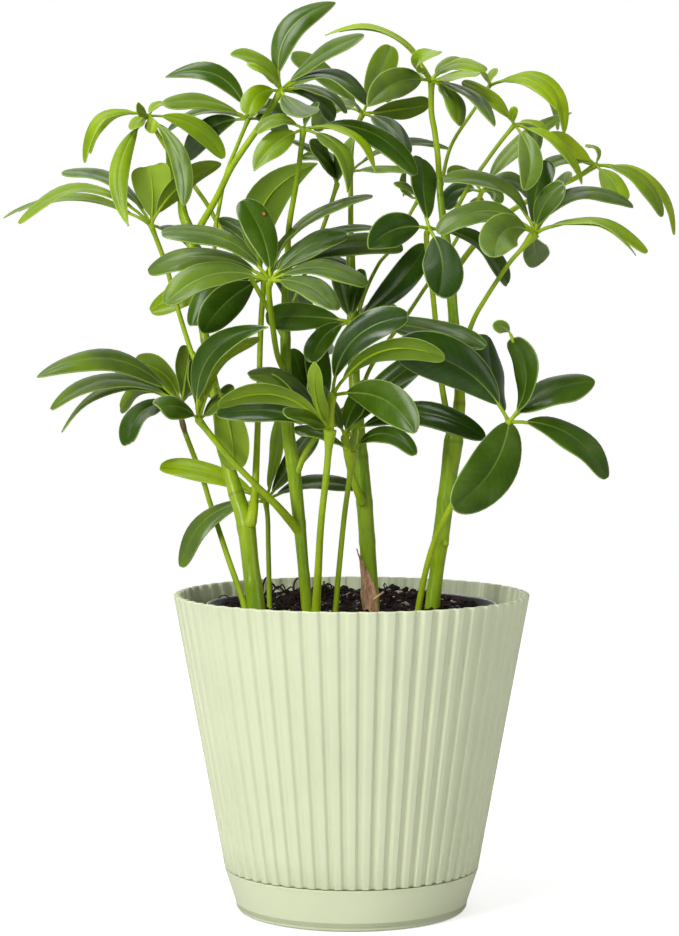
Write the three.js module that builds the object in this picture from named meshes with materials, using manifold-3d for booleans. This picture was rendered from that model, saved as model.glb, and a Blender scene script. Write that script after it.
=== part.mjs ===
// Potted umbrella plant: four leafy stems and five leaves of their own in a fluted pot with a clipped-on saucer.
// Millimetres, +Z up, +Y away from the front. The origin is the centre of the saucer's underside.

import * as THREE from "three";
import { mergeVertices } from "three/addons/utils/BufferGeometryUtils.js";
import Module from "manifold-3d";

const wasm = await Module();
wasm.setup();

// Driving dimensions of the pot: a six inch class decorative pot.
const potWidth = 160;
const potTop = 142.6;
const seamHeight = 19.4;
const seamWidth = 114.6;
const fluteCount = 60;
const fluteDepth = 1.4;
const potWall = 2.2;
const potFloor = 2;
const mouthWall = 1.4;
const footGap = 0.6;
const footTaper = 0.6;
const footHeight = 2;

// Driving dimensions of the saucer, the grower's pot and the soil.
const saucerBaseWidth = 100;
const saucerFloor = footHeight;
const saucerWall = 1.8;
const saucerFlare = 1;
const saucerCorner = 1.5;
const saucerLip = 1;
const nurseryWidth = 132;
const nurseryBaseWidth = 86;
const nurseryTop = 137.5;
const nurseryWall = 1.2;
const nurseryRim = 2.4;
const rimStep = 1;
const soilTop = 134;
const soilBackRise = 4.6;
const soilUneven = 0.7;
const soilBelowRim = 1.5;
const soilRings = [1, 0.84, 0.6, 0.32, 0];
const clearance = 0.3;
const drainRadius = 4;
const drainCircle = 0.6;
const past = 1;

// Blades and stalks. A short leaflet's blade is this share of its length wide; a hub is this share of its stalk.
const bladeThickness = 0.8;
const bladeStart = 0.13;
const widestShare = 0.42;
const hubShare = 0.9;
const leafletStalk = 0.7;
const simplifyWithin = 0.08;
const potWithin = 0.02;
const stemSides = 8;
const stalkSides = 5;
const roundSides = 40;
const nurserySides = 28;
const rootDepth = 22;
const rootedBelow = 10;

// Outlines of leaflets under 24 mm, under 46 mm and longer: [share of the length, share of the full width].
const smallLeaflet = 24;
const largeLeaflet = 46;
const smallOutline = [[0, 0], [bladeStart, 0], [0.6, 1], [1, 0.3]];
const middleOutline = [[0, 0], [bladeStart, 0], [0.42, 0.88], [0.78, 0.94], [1, 0.3]];
const largeOutline = [[0, 0], [bladeStart, 0], [0.32, 0.7], [0.6, 1], [0.86, 0.8], [1, 0.26]];

// The leaves are set out as they are seen from the front by an eye this far from the pot's axis, at this height
// and this far to the side: every point is [across, up, back], where across and up are read on the upright plane
// through the axis, and back is how far behind that plane the point lies, along the line of sight, before the
// whole crown is stretched to its full depth.
const eyeDistance = 1200;
const eyeHeight = 265;
const eyeAcross = -5.4;
const crownStretch = 1.4;

const material = (color, roughness) => new THREE.MeshStandardMaterial({ color, roughness, metalness: 0 });
const sagePlastic = material(0xcbd6ae, 0.55);
const blackPlastic = material(0x1c1d1c, 0.5);
const darkSoil = material(0x2a1d14, 0.95);
const stemGreen = material(0x7f9a2c, 0.45);
const leafGreen = material(0x2f5a1c, 0.35);
const youngGreen = material(0x6d9a26, 0.35);

function place([across, up, back]) {
  const depth = back * crownStretch;
  const reach = 1 + depth / eyeDistance;
  return new THREE.Vector3(
    eyeAcross + (across - eyeAcross) * reach,
    depth,
    eyeHeight + (up - eyeHeight) * reach
  );
}

const lerp = THREE.MathUtils.lerp;

// Closed solids and booleans.
function toSolid(geometry) {
  const bare = geometry.clone();
  bare.deleteAttribute("normal");
  bare.deleteAttribute("uv");
  const merged = mergeVertices(bare, 1e-5);
  const solid = new wasm.Manifold(
    new wasm.Mesh({
      numProp: 3,
      vertProperties: new Float32Array(merged.attributes.position.array),
      triVerts: new Uint32Array(merged.index.array),
    })
  );
  return solid;
}

function toGeometry(solid) {
  const { vertProperties, triVerts } = solid.getMesh();
  const geometry = new THREE.BufferGeometry();
  geometry.setAttribute("position", new THREE.BufferAttribute(new Float32Array(vertProperties), 3));
  geometry.setIndex(new THREE.BufferAttribute(new Uint32Array(triVerts), 1));
  geometry.computeVertexNormals();
  return geometry;
}

// Simplifying a leaf can split off an empty sliver, which is dropped.
function largestBody(solid) {
  return solid.decompose().reduce((best, body) => (body.volume() > best.volume() ? body : best));
}

// A closed skin over rings of points. Every ring has the same number of points, and both ends are capped: a fluted
// ring from its centre, because a fan from its first corner would cross its valleys. On a blade's four-cornered
// rings the quads of the under face are split like those of the upper face.
function loft(rings, { isBlade = false, isFluted = false } = {}) {
  const count = rings[0].length;
  const positions = rings.flat().flatMap((p) => [p.x, p.y, p.z]);
  const index = [];
  for (let r = 0; r + 1 < rings.length; r += 1) {
    for (let i = 0; i < count; i += 1) {
      const j = (i + 1) % count;
      const [a, b, c, d] = [r * count + i, r * count + j, (r + 1) * count + j, (r + 1) * count + i];
      if (isBlade && i === 2) {
        index.push(a, b, d, b, c, d);
      } else {
        index.push(a, b, c, a, c, d);
      }
    }
  }
  const last = (rings.length - 1) * count;
  for (let i = 1; i + 1 < count && !isFluted; i += 1) {
    index.push(0, i + 1, i);
    index.push(last, last + i, last + i + 1);
  }
  for (let i = 0; i < count && isFluted; i += 1) {
    const j = (i + 1) % count;
    const centre = last + count;
    index.push(centre, j, i);
    index.push(centre + 1, last + i, last + j);
  }
  if (isFluted) {
    positions.push(0, 0, rings[0][0].z, 0, 0, rings.at(-1)[0].z);
  }
  const geometry = new THREE.BufferGeometry();
  geometry.setAttribute("position", new THREE.Float32BufferAttribute(positions, 3));
  geometry.setIndex(index);
  return toSolid(facingOut(geometry));
}

function facingOut(geometry) {
  const position = geometry.attributes.position;
  const index = geometry.index.array;
  const [a, b, c] = [new THREE.Vector3(), new THREE.Vector3(), new THREE.Vector3()];
  let volume = 0;
  for (let i = 0; i < index.length; i += 3) {
    a.fromBufferAttribute(position, index[i]);
    b.fromBufferAttribute(position, index[i + 1]);
    c.fromBufferAttribute(position, index[i + 2]);
    volume += a.dot(b.cross(c));
  }
  if (volume < 0) {
    geometry.setIndex(Array.from(index).reverse());
  }
  return geometry;
}

// A round stem or stalk through a list of points, with its radius at each point.
function roundStalk(points, radii, sides, extra = 0) {
  const path = new THREE.CatmullRomCurve3(points, false, "centripetal");
  const last = points.length - 1;
  const rings = points.map((point, n) => {
    const along = path.getTangent(n / last);
    const side = new THREE.Vector3(0, -1, 0).cross(along).normalize();
    const front = side.clone().cross(along).normalize();
    return Array.from({ length: sides }, (_, i) => {
      const angle = (2 * Math.PI * i) / sides;
      return point
        .clone()
        .addScaledVector(side, (radii[n] + extra) * Math.cos(angle))
        .addScaledVector(front, (radii[n] + extra) * Math.sin(angle));
    });
  });
  return loft(rings);
}

// One leaflet: an arched blade from the leaf's hub to its tip. `seen` is the blade's width as it is seen from the
// front, negative where its underside shows, and `bow` is how far its midrib stands above the straight line.
function leafletSolid(hub, [across, up, back, seen, bow], bladeWidth) {
  const tip = [across, up, back];
  const chord = new THREE.Vector2(across - hub[0], up - hub[1]);
  const upward = new THREE.Vector2(-chord.y, chord.x).normalize().multiplyScalar(chord.x < 0 ? -1 : 1);
  const control = [
    (hub[0] + across) / 2 + 2 * bow * upward.x,
    (hub[1] + up) / 2 + 2 * bow * upward.y,
    (hub[2] + back) / 2,
  ];
  const midrib = new THREE.QuadraticBezierCurve3(place(hub), place(control), place(tip));
  const length = midrib.getLength();
  const width = Math.max(Math.abs(seen), Math.min(bladeWidth, widestShare * length));
  const facing = THREE.MathUtils.clamp(seen / width, -1, 1);
  const lying = Math.sqrt(1 - facing * facing) * (chord.x < 0 ? -1 : 1);
  const away = new THREE.Vector3(0, 1, 0);
  let outline = largeOutline;
  if (length < smallLeaflet) {
    outline = smallOutline;
  } else if (length < largeLeaflet) {
    outline = middleOutline;
  }
  const rings = outline.map(([t, share], n) => {
    const along = midrib.getTangent(t);
    const cross = away.clone().cross(along).normalize();
    const viewer = cross.clone().cross(along).normalize();
    const upper = viewer.clone().multiplyScalar(facing).addScaledVector(cross, -lying).normalize();
    const side = upper.clone().cross(along).normalize();
    const half = Math.max(leafletStalk, width * share) / 2;
    const thick = (n === 0 ? leafletStalk : bladeThickness) / 2;
    const centre = midrib.getPoint(t);
    const corner = (s, u) => centre.clone().addScaledVector(side, s * half).addScaledVector(upper, u * thick);
    return [corner(-1, 1), corner(1, 1), corner(1, -1), corner(-1, -1)];
  });
  return loft(rings, { isBlade: true });
}

// The stems, from the soil up: [across, up, back, width].
const stems = {
  stem_a: [
    [-42.9, 134.6, -8, 8.4],
    [-45.3, 155, -7, 7.6],
    [-47.6, 174, -6, 8],
    [-52.5, 190, -4, 6.6],
    [-57.5, 209, -2, 5.6],
    [-61.5, 235, 0, 4.6],
    [-65.4, 256, 2, 4.2],
    [-69, 280, 4, 4.4],
    [-71.8, 302, 6, 5],
    [-75, 312, 10, 4.4],
    [-76, 319, 12, 3.4],
  ],
  stem_b: [
    [-19.9, 134.6, 0, 5.2],
    [-21.7, 155, 0, 5],
    [-23.3, 173, 0, 5.6],
    [-26, 199, 0, 6.2],
    [-28.5, 217, 0, 5.6],
    [-29.5, 246, 0, 4.8],
    [-29.3, 274, 0, 4.2],
    [-28.3, 294, 0, 4],
  ],
  stem_c: [
    [9.1, 134.6, 4, 7.4],
    [7.8, 155, 4, 7.2],
    [5.6, 186, 3, 7.2],
    [3.3, 211, 4, 6.6],
    [1.4, 236, 6, 5.2],
    [0.4, 262, 8, 4.8],
    [-0.5, 296, 10, 4],
  ],
  stem_d: [
    [36.2, 134.6, 4, 7],
    [38.2, 152, 4, 6.4],
    [40, 167, 3, 7.4],
    [43.6, 195, 2, 7.6],
    [45.6, 210, 2, 8.4],
    [48.4, 232, 1, 4.8],
    [45.4, 268, 1, 4.6],
    [43.6, 290, 1, 4.6],
    [40.2, 315, 1, 3.2],
    [38.9, 329, 1, 2.8],
  ],
};

// The compound leaves. `on` names the stem, `stalk` runs from it, or from the soil, to the hub, and each leaflet
// is [across, up, back, seen width, bow]. Entries with one name have grown together.
const leaves = [
  {
    name: "leaf_a1",
    on: "stem_a",
    bladeWidth: 13,
    stalkWidth: [6.4, 2.6],
    stalk: [[-46.5, 174, -5], [-43.2, 190.7, -3], [-41.6, 230, 2], [-40.6, 262, 8], [-39, 284, 14]],
    leaflets: [
      [-67, 259.5, -13, 15.5, 3],
      [-71, 262.5, -8, 12, 8],
      [-90, 269, 18, 12, 4],
      [9.5, 320, 0, 5, 9],
      [10.5, 306, 2, 5, 7.5],
      [1, 289, 36, 5, 8],
      [-61, 309, 32, 12, 4],
      [-22, 262, 52, 12, 6],
      [-15, 335, 2, -17.5, 14],
    ],
  },
  {
    name: "leaf_a2",
    on: "stem_a",
    bladeWidth: 13,
    stalkWidth: [2.4, 2.2],
    stalk: [[-62, 234, 1], [-69, 246, 7], [-72, 252, 9], [-78.5, 273, 10], [-83, 290, 8], [-89.5, 307.5, 3]],
    leaflets: [
      [-148.5, 308, -12, 4.5, 16],
      [-155.5, 310.5, 8, 4, 10],
      [-129, 331, 22, 5.5, 8],
      [-90, 334, 14, -18, 1],
      [-58, 334.5, 17, -9.5, 5],
      [-66, 291, 44, 5, 3],
    ],
  },
  {
    name: "leaf_a3",
    on: "stem_a",
    bladeWidth: 11,
    stalkWidth: [2, 1.8],
    stalk: [
      [-65.4, 257, 3], [-62.5, 280, 9], [-60.5, 307, 3], [-59.5, 313, 2], [-56, 330, 7], [-50, 345, 11],
      [-46, 354.5, 12],
    ],
    leaflets: [
      [-83, 373, 14, 10, 11],
      [-84, 361, 2, 6.5, 4.5],
      [-82, 349, 36, 6, 6],
      [-73.5, 336, 42, 11.5, 6],
      [-38, 361, -2, 4, 1],
      [-44, 366, 18, 5, 1],
      [-30, 352, 44, 10, 6],
      [-30, 345, 50, 10, 4],
    ],
  },
  {
    name: "leaf_a4",
    on: "stem_a",
    bladeWidth: 13,
    stalkWidth: [3.4, 2.8],
    stalk: [[-71.6, 300, 5], [-67, 308, 2], [-60, 320, -3], [-53, 334, -7], [-40, 353, -10], [-31.5, 367, -10]],
    leaflets: [
      [-7, 406, 4, 12, 11],
      [-54, 383, -14, 7, 5],
      [-46, 378, -22, 3, 2],
      [5.7, 391.5, -24, 6.5, 3],
      [7, 360.5, -26, 6, 10.5],
      [-7.5, 354.8, 14, 7, 4],
      [-46, 356.5, -20, 10, 4.5],
      [-17.5, 356.5, -44, 10.5, -1.5],
      [-2.2, 357, -10, 5.5, 6],
      [-8, 376, 12, 5, 1],
    ],
  },
  {
    name: "leaf_b1",
    on: "stem_b",
    bladeWidth: 14,
    stalkWidth: [5.4, 2.8],
    stalk: [[-25, 171, -1], [-33, 181.5, -8], [-44, 192.4, -13], [-56, 205, -16], [-68.5, 220.5, -17]],
    leaflets: [
      [-37, 262, -30, 11, 13],
      [-41, 257, -10, -5, 8],
      [-54, 236.5, -12, 8, -1],
      [-86.5, 226, -34, 9.5, 3],
      [-71, 247, -8, 4, 0],
    ],
  },
  {
    name: "leaf_b1",
    on: "stem_b",
    bladeWidth: 14,
    stalkWidth: [1.8, 1.4],
    stalk: [[-68.5, 220.5, -17], [-65, 231, -16], [-61, 238, -15]],
    leaflets: [[-52.5, 198, -8, -15, 2]],
  },
  {
    name: "leaf_b2",
    on: "stem_b",
    bladeWidth: 13,
    stalkWidth: [3.2, 2.4],
    stalk: [[-25, 196, -1], [-20.5, 206, -1], [-16.5, 212, 0], [-14, 215.5, 2]],
    leaflets: [
      [-46.3, 240.5, -18, 8, 9],
      [-35.5, 241, -14, -8.5, -1],
      [-27, 252.5, 10, 11, 0],
      [-16, 257, 12, 11, 0],
      [8, 224.5, 26, -8, 3],
      [-28, 222, 40, 11, 6],
    ],
  },
  {
    name: "leaf_b3",
    on: "stem_b",
    bladeWidth: 15,
    stalkWidth: [2.4, 2.6],
    stalk: [[-30, 242, -1], [-33.3, 250, -4], [-35.6, 265, -12], [-37, 278, -20], [-36.5, 282.5, -22]],
    leaflets: [
      [-85, 303.5, -26, 8, 9],
      [-91, 286.5, -18, 10, 9],
      [-83, 272, -36, 12.5, 8.5],
      [-49, 318.5, -12, 14, 3.5],
      [-22, 307.5, -4, 6, 3],
      [-2, 303.5, -16, 11, 4],
      [23, 297.5, 0, 9, 8],
      [6.5, 280, -32, 7, 7],
      [-8, 269.5, -46, 11, 5],
    ],
  },
  {
    name: "leaf_b4",
    on: "stem_b",
    bladeWidth: 9,
    stalkWidth: [2.2, 2],
    stalk: [
      [-29.5, 256, 0], [-45, 284, 2], [-58, 305, 11], [-64, 316, 16], [-71, 326, 20], [-84, 344, 22],
      [-90.5, 356, 22],
    ],
    leaflets: [
      [-118.8, 335, 12, 6, 12],
      [-116.5, 339, 26, 5.5, 9],
      [-99.5, 307, -16, 9, 8.5],
      [-75, 316, -4, 9, 6],
      [-57, 337, 22, 9, 6],
      [-97, 350, 12, 6, 1.5],
      [-90, 348.5, 16, 6, 1],
      [-96, 360, 12, 5, 0],
      [-84, 362, 30, 4, 1],
      [-80, 324, 36, 8, 6],
    ],
  },
  {
    name: "leaf_b5",
    on: "stem_b",
    bladeWidth: 14,
    stalkWidth: [2, 2],
    stalk: [[-29.4, 264, 1], [-20, 288, 14], [-13, 306, 22], [-10.5, 313, 22], [-6.5, 325.5, 18]],
    leaflets: [
      [-31, 346, 10, 4, 5],
      [-19, 343.5, 4, 6, 2],
      [-6, 340.5, 8, 5, 0],
    ],
  },
  {
    name: "leaf_b6",
    on: "stem_b",
    bladeWidth: 12,
    stalkWidth: [3, 2.4],
    stalk: [[-28.4, 290, 0], [-28, 306, -3], [-24, 330, -12], [-21.5, 350, -20]],
    leaflets: [
      [-43.5, 331.5, -32, 11.5, 3],
      [-2, 322, -38, 8, 8],
      [10.5, 331, -28, 3, 9],
      [28.5, 329.5, -22, 10, 10],
      [-15, 362, -16, 4, 1],
      [-42, 348, -25, 6, 5],
    ],
  },
  {
    name: "leaf_c1",
    on: "stem_c",
    bladeWidth: 13,
    stalkWidth: [4, 3],
    stalk: [[5.2, 182, 0], [2, 190.5, -4], [-0.5, 198, -6], [-2, 205, -6], [-3, 212.5, -5]],
    leaflets: [
      [59.5, 212, -22, 11.5, 11.5],
      [33.5, 248, -10, 12.5, 4],
      [10, 236, -20, 9, 3],
      [-20, 236, -16, 9, 3],
    ],
  },
  {
    name: "leaf_c2",
    on: "stem_c",
    bladeWidth: 13,
    stalkWidth: [3, 2.6],
    stalk: [[1.2, 244, 5], [-2, 254, -3], [-0.5, 264.5, -5]],
    leaflets: [
      [-38.5, 266, -8, 13, 1.5],
      [-7, 287, -8, 7, 0],
      [5, 288, -6, 7, 0],
      [33, 299, 6, 13, -3.5],
      [60, 253, -28, 11, 3],
      [-17.5, 246, -12, 10, 4],
      [-12, 250, 34, 11, 6],
      [26, 260, 44, 11, 7],
    ],
  },
  {
    name: "leaf_c3",
    on: "stem_c",
    bladeWidth: 6,
    stalkWidth: [1.8, 1.6],
    stalk: [[0.6, 258, 8], [5.5, 276, 10], [12, 290, 11], [17.5, 297, 12], [27.5, 315, 8], [30, 319, 7]],
    leaflets: [
      [19, 325.5, 0, 3, 2],
      [23, 321.5, 16, 4, 2],
      [24, 331, 12, 3, -4],
      [38, 326, 14, 5, 2],
    ],
  },
  {
    name: "leaf_c4",
    on: "stem_c",
    bladeWidth: 12,
    stalkWidth: [2, 1.8],
    stalk: [[2.2, 222, 6], [8, 243, 12], [24.5, 267, 18], [31.5, 277.5, 22], [45, 298, 30], [58, 322, 34]],
    leaflets: [
      [98, 357.5, 44, 8, 5],
      [42.5, 331.5, 30, -5, 3],
      [80, 321, 54, 9, 6],
      [41, 315, 46, 9, 5],
      [66, 317, 30, 6, 3],
      [56, 309, 58, 11, 0],
    ],
  },
  {
    name: "leaf_c5",
    on: "stem_c",
    bladeWidth: 9,
    stalkWidth: [2.2, 1.8],
    stalk: [[-0.4, 290, 10], [-0.7, 312, 15], [-0.5, 331, 18]],
    leaflets: [
      [27, 331, 1, 4, 2],
      [44.5, 341, 24, 3.5, 7.5],
      [1, 347, 26, 4, 2],
      [-22, 338, 34, 5, 3],
    ],
  },
  {
    name: "leaf_c6",
    on: "stem_c",
    bladeWidth: 13,
    stalkWidth: [2.4, 2.2],
    stalk: [[-0.2, 284, 10], [-0.3, 312, 24], [-0.3, 335, 32], [1, 348, 34], [5, 357, 34]],
    leaflets: [
      [17.5, 387, 40, 13, 0],
      [-27, 383, 28, 9, 3],
      [34.7, 361, 44, -8.5, 0],
      [-3, 363, 22, 3, 1],
      [24.5, 338.5, 8, 10, 4],
      [-17, 350, 62, 11, 7],
    ],
  },
  {
    name: "leaf_d1",
    on: "stem_d",
    bladeWidth: 15,
    stalkWidth: [3, 2.4],
    stalk: [[45, 213, 1], [41.6, 229, -6], [39.6, 243, -7], [36.5, 275, -12], [33.5, 300, -22], [34.5, 306, -25]],
    leaflets: [
      [7.5, 297, -40, 15, 4.5],
      [38.3, 276, -56, 18, 4],
      [31.5, 337, -8, 11.5, -1],
      [69.5, 281, -6, 8, 7],
    ],
  },
  {
    name: "leaf_d2",
    on: "stem_d",
    bladeWidth: 15,
    stalkWidth: [2.4, 2],
    stalk: [[47.3, 243, 0], [53.8, 263.5, -8], [60, 275, -12], [70, 290, -16], [76, 297, -18], [82, 304, -19]],
    leaflets: [
      [40.5, 327, -14, 7, 10],
      [39, 303.3, -30, 9, 10],
      [64, 293, -50, 17, 8],
      [84.5, 290.5, -2, 12, -1.5],
      [86.5, 336.5, -10, 9, 2],
      [95, 325.5, -26, 10, 3],
      [132, 295, -24, 3.5, 9.5],
      [127, 293.8, -36, 3, 10],
      [125.5, 316, 2, 8.5, 12],
      [95.5, 331, 4, 7, 2],
    ],
  },
  {
    name: "leaf_d3",
    on: "stem_d",
    bladeWidth: 12,
    stalkWidth: [2.8, 2.4],
    stalk: [[44, 284, 2], [56, 300, 12], [70, 313, 18], [86, 322, 20], [100, 328.5, 20], [108.5, 334, 20]],
    leaflets: [
      [88, 347, 8, 9, 2],
      [86, 332, 8, 6, 4],
      [91, 337, 28, 4, 1],
      [104, 343, 24, 3, 4],
      [120, 318, 4, 11, 2],
      [138.3, 311, 16, 7, 7.5],
      [144, 303, 28, 6, 12],
    ],
  },
  {
    name: "leaf_d4",
    on: "stem_d",
    bladeWidth: 10,
    stalkWidth: [2, 1.8],
    stalk: [[41.5, 304, 0], [47, 315, -3], [53, 326, -6], [58, 333, -7], [66, 344, -8], [72.5, 352, -8]],
    leaflets: [
      [53.5, 364, -8, 6, 3],
      [49, 371, -4, 7, 3],
      [73, 360, -12, 4, 1],
      [88, 348, -2, 3.5, 3],
      [76.5, 323, -28, 11, 5],
      [102.5, 325.5, -12, 5.5, 6],
      [82, 338, 22, 8, 5],
    ],
  },
  {
    name: "leaf_d5",
    on: "stem_d",
    bladeWidth: 9,
    stalkWidth: [1.8, 1.6],
    stalk: [[39.4, 322, 1], [44, 342, 9], [54, 358, 14], [61.5, 369.5, 16]],
    leaflets: [
      [94.5, 348, 5, 6, 15],
      [91.2, 358.5, 2, 6, 8],
      [57, 375, 8, 3, 1],
      [64, 377, 22, 4, 1],
      [92, 350, 62, 4, 12],
    ],
  },
  {
    name: "leaf_d6",
    on: "stem_d",
    bladeWidth: 12,
    stalkWidth: [2.6, 2.6],
    stalk: [[39, 327, 1], [38.5, 337, 0], [37, 349, 0], [35.5, 358, 0], [35.5, 371.5, -2]],
    leaflets: [
      [-12, 391.5, -8, 2.6, 11.5],
      [39.2, 383.5, -22, 7, 8],
      [7, 360, -40, 13.5, 5],
      [59.5, 375.5, -12, 5, 5.5],
      [55, 373.5, -24, 6, 1],
      [53, 375, 6, 5, 6],
      [46.5, 352.7, -24, 8.5, 4.5],
      [63.5, 351.3, -28, 5.5, 5],
      [15, 364, 30, 9, 4],
      [44, 362, 30, 6, 3],
    ],
  },
  {
    name: "base_leaf_1",
    bladeWidth: 14,
    stalkWidth: [3, 2.4],
    stalk: [[-48, 135.5, 3], [-56, 160, 13], [-63.4, 183, 22], [-67, 194.7, 25], [-75.6, 218, 24], [-76.5, 227, 22]],
    leaflets: [
      [-140.5, 241, 6, 9, 14],
      [-134.8, 225, 20, 7, 12.5],
      [-130, 214.8, 34, 5.5, 15],
      [-99.5, 209.5, 0, 11.5, 8],
      [-96, 246.5, 44, -10, 5],
      [-93, 237, 52, 6, 2],
      [-72.5, 253, 42, -9, 0],
      [-108, 239, 40, 6, 7],
      [-103.5, 225.5, 48, 10, 9],
      [-60, 232, 56, 10, 5],
    ],
  },
  {
    name: "base_leaf_2",
    bladeWidth: 12,
    stalkWidth: [2.6, 2.2],
    stalk: [[-36.8, 134.6, 8], [-37.4, 165, 8], [-37.6, 176, 9], [-38.5, 184, 10]],
    leaflets: [
      [-86, 199.3, 18, 9.5, 4],
      [-76.7, 154.2, 13, 9, 10],
      [-48.5, 189, 15, 2.5, 1],
      [-31.5, 226, 26, 7, -1],
      [-16, 215.5, 22, 9, 0],
      [2, 190, 24, 6.5, 5],
    ],
  },
  {
    name: "base_leaf_3",
    bladeWidth: 14,
    stalkWidth: [5, 3],
    stalk: [[-16, 133.7, -13], [-15, 152, -16], [-13.7, 174, -20], [-11.2, 197, -24], [-9.6, 216, -26]],
    leaflets: [
      [-60, 227, -38, -10, 10.5],
      [-60.5, 223, -24, 9, 4.5],
      [-28.8, 221.5, -52, 6, 2],
      [-15.5, 245.3, -42, -8, -3],
    ],
  },
  {
    name: "base_leaf_3",
    bladeWidth: 14,
    stalkWidth: [3.6, 3],
    stalk: [[-9.6, 216, -26], [-9.2, 224, -27], [-8.5, 231.5, -28]],
    leaflets: [
      [25.5, 266.8, -38, 13, 10.5],
      [41.8, 248.5, -52, -9, 12],
      [28.5, 214.5, -60, 16, 8],
    ],
  },
  {
    name: "base_leaf_4",
    bladeWidth: 10,
    stalkWidth: [2.6, 2.4],
    stalk: [[-7.3, 133.7, -9], [-3.6, 174, -12], [-0.6, 197, -14], [-0.5, 206, -14]],
    leaflets: [
      [28.3, 204.5, -30, 8, 9],
      [-26, 216.5, -13, 4, 3],
      [3, 216, -22, 4, 1],
    ],
  },
  {
    name: "base_leaf_5",
    bladeWidth: 20,
    stalkWidth: [3, 2.6],
    stalk: [[29.8, 134, -8], [35.5, 160.7, -14], [43.7, 180, -20], [58, 203, -27], [70.5, 219.5, -30]],
    leaflets: [
      [44.5, 181, -60, 22, -4],
      [114.7, 194.2, -30, 13, 8.5],
      [109, 238, -22, 11.5, 4.5],
      [72.5, 257.5, -36, 8, -7],
      [61, 258, -4, 11, -2.5],
      [19.5, 252, -32, 21, 9],
    ],
  },
  {
    name: "base_leaf_5",
    bladeWidth: 6,
    stalkWidth: [1.6, 1.2],
    stalk: [[73, 252, -35], [71.5, 258, -36]],
    leaflets: [[63.3, 261.5, -37, 6, 2]],
  },
];

// Plant solids.
function stemSolid(points, extra = 0) {
  const [across, up, back, width] = points[0];
  const foot = [across, up - rootDepth - extra, back, width];
  const all = [foot, ...points];
  return roundStalk(all.map(place), all.map((p) => p[3] / 2), stemSides, extra);
}

// A dry papery sheath stands round the foot of stem c, and stem d has a bud scar low on its right.
const sheath = [[8.9, 135.6, 4, 10.4], [8.3, 147.5, 4, 9.2], [6, 154, 2, 4.4], [3.8, 161.5, 0, 1.2]];
const budScar = { at: [42, 165, 1], radius: 2.4 };

function sheathSolid() {
  return roundStalk(sheath.map(place), sheath.map((p) => p[3] / 2), stemSides);
}

function budScarSolid() {
  const scar = new THREE.IcosahedronGeometry(budScar.radius, 0);
  scar.translate(...place(budScar.at).toArray());
  return toSolid(scar);
}

const isRooted = (on, up) => on === undefined && up < soilTop + rootedBelow;

function stalkSolid({ on, stalk, stalkWidth }, extra = 0) {
  const [across, up, back] = stalk[0];
  const rooted = isRooted(on, up);
  const points = rooted ? [[across, up - rootDepth - extra, back], ...stalk] : stalk;
  const last = points.length - 1;
  const radii = points.map((_, n) => lerp(stalkWidth[0], stalkWidth[1], Math.min(1, (2 * n) / last)) / 2);
  return roundStalk(points.map(place), radii, stalkSides, extra);
}

function leafSolid(leaf) {
  const hub = leaf.stalk.at(-1);
  const hubBall = new THREE.OctahedronGeometry(leaf.stalkWidth[1] * hubShare, 0);
  hubBall.translate(...place(hub).toArray());
  const parts = [stalkSolid(leaf), toSolid(hubBall)];
  for (const leaflet of leaf.leaflets) {
    parts.push(leafletSolid(hub, leaflet, leaf.bladeWidth));
  }
  return largestBody(parts.reduce((whole, part) => whole.add(part)).simplify(simplifyWithin));
}

// Pot, saucer, grower's pot and soil.
const seamRadius = seamWidth / 2;
const potRadiusAt = (z) => lerp(seamRadius, potWidth / 2, (z - seamHeight) / (potTop - seamHeight));

function turned(profile, segments) {
  const points = profile.map(([radius, height]) => new THREE.Vector2(radius, height));
  const geometry = new THREE.LatheGeometry(points, segments);
  geometry.rotateX(Math.PI / 2);
  return toSolid(facingOut(mergeVertices(withoutExtras(geometry), 1e-5)));
}

function withoutExtras(geometry) {
  geometry.deleteAttribute("normal");
  geometry.deleteAttribute("uv");
  return geometry;
}

// The fluted wall: each flute is a flat ridge, a slope, a flat valley and a slope, and a ridge faces the front.
const ridgeHalf = 0.24;
const valleyStart = 0.34;

function flutedRing(height, ridge, valley) {
  const ring = [];
  const corners = [[-ridgeHalf, ridge], [ridgeHalf, ridge], [valleyStart, valley], [1 - valleyStart, valley]];
  for (let flute = 0; flute < fluteCount; flute += 1) {
    for (const [share, radius] of corners) {
      const angle = -Math.PI / 2 + (2 * Math.PI * (flute + share)) / fluteCount;
      ring.push(new THREE.Vector3(radius * Math.cos(angle), radius * Math.sin(angle), height));
    }
  }
  return ring;
}

const saucerRadiusAt = (z) => lerp(saucerBaseWidth / 2 + saucerFlare, seamRadius, z / seamHeight);

function drainHole(radius, x, y, bottom, top) {
  const geometry = new THREE.CylinderGeometry(radius, radius, top - bottom, 8);
  geometry.rotateX(Math.PI / 2);
  geometry.translate(x, y, (bottom + top) / 2);
  return toSolid(geometry);
}

function withDrainHoles(solid, ringRadius, bottom, top) {
  let drained = solid.subtract(drainHole(drainRadius, 0, 0, bottom, top));
  for (let n = 0; n < 4; n += 1) {
    const angle = (Math.PI * n) / 2;
    const [x, y] = [ringRadius * Math.cos(angle), ringRadius * Math.sin(angle)];
    drained = drained.subtract(drainHole(drainRadius, x, y, bottom, top));
  }
  return drained;
}

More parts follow.
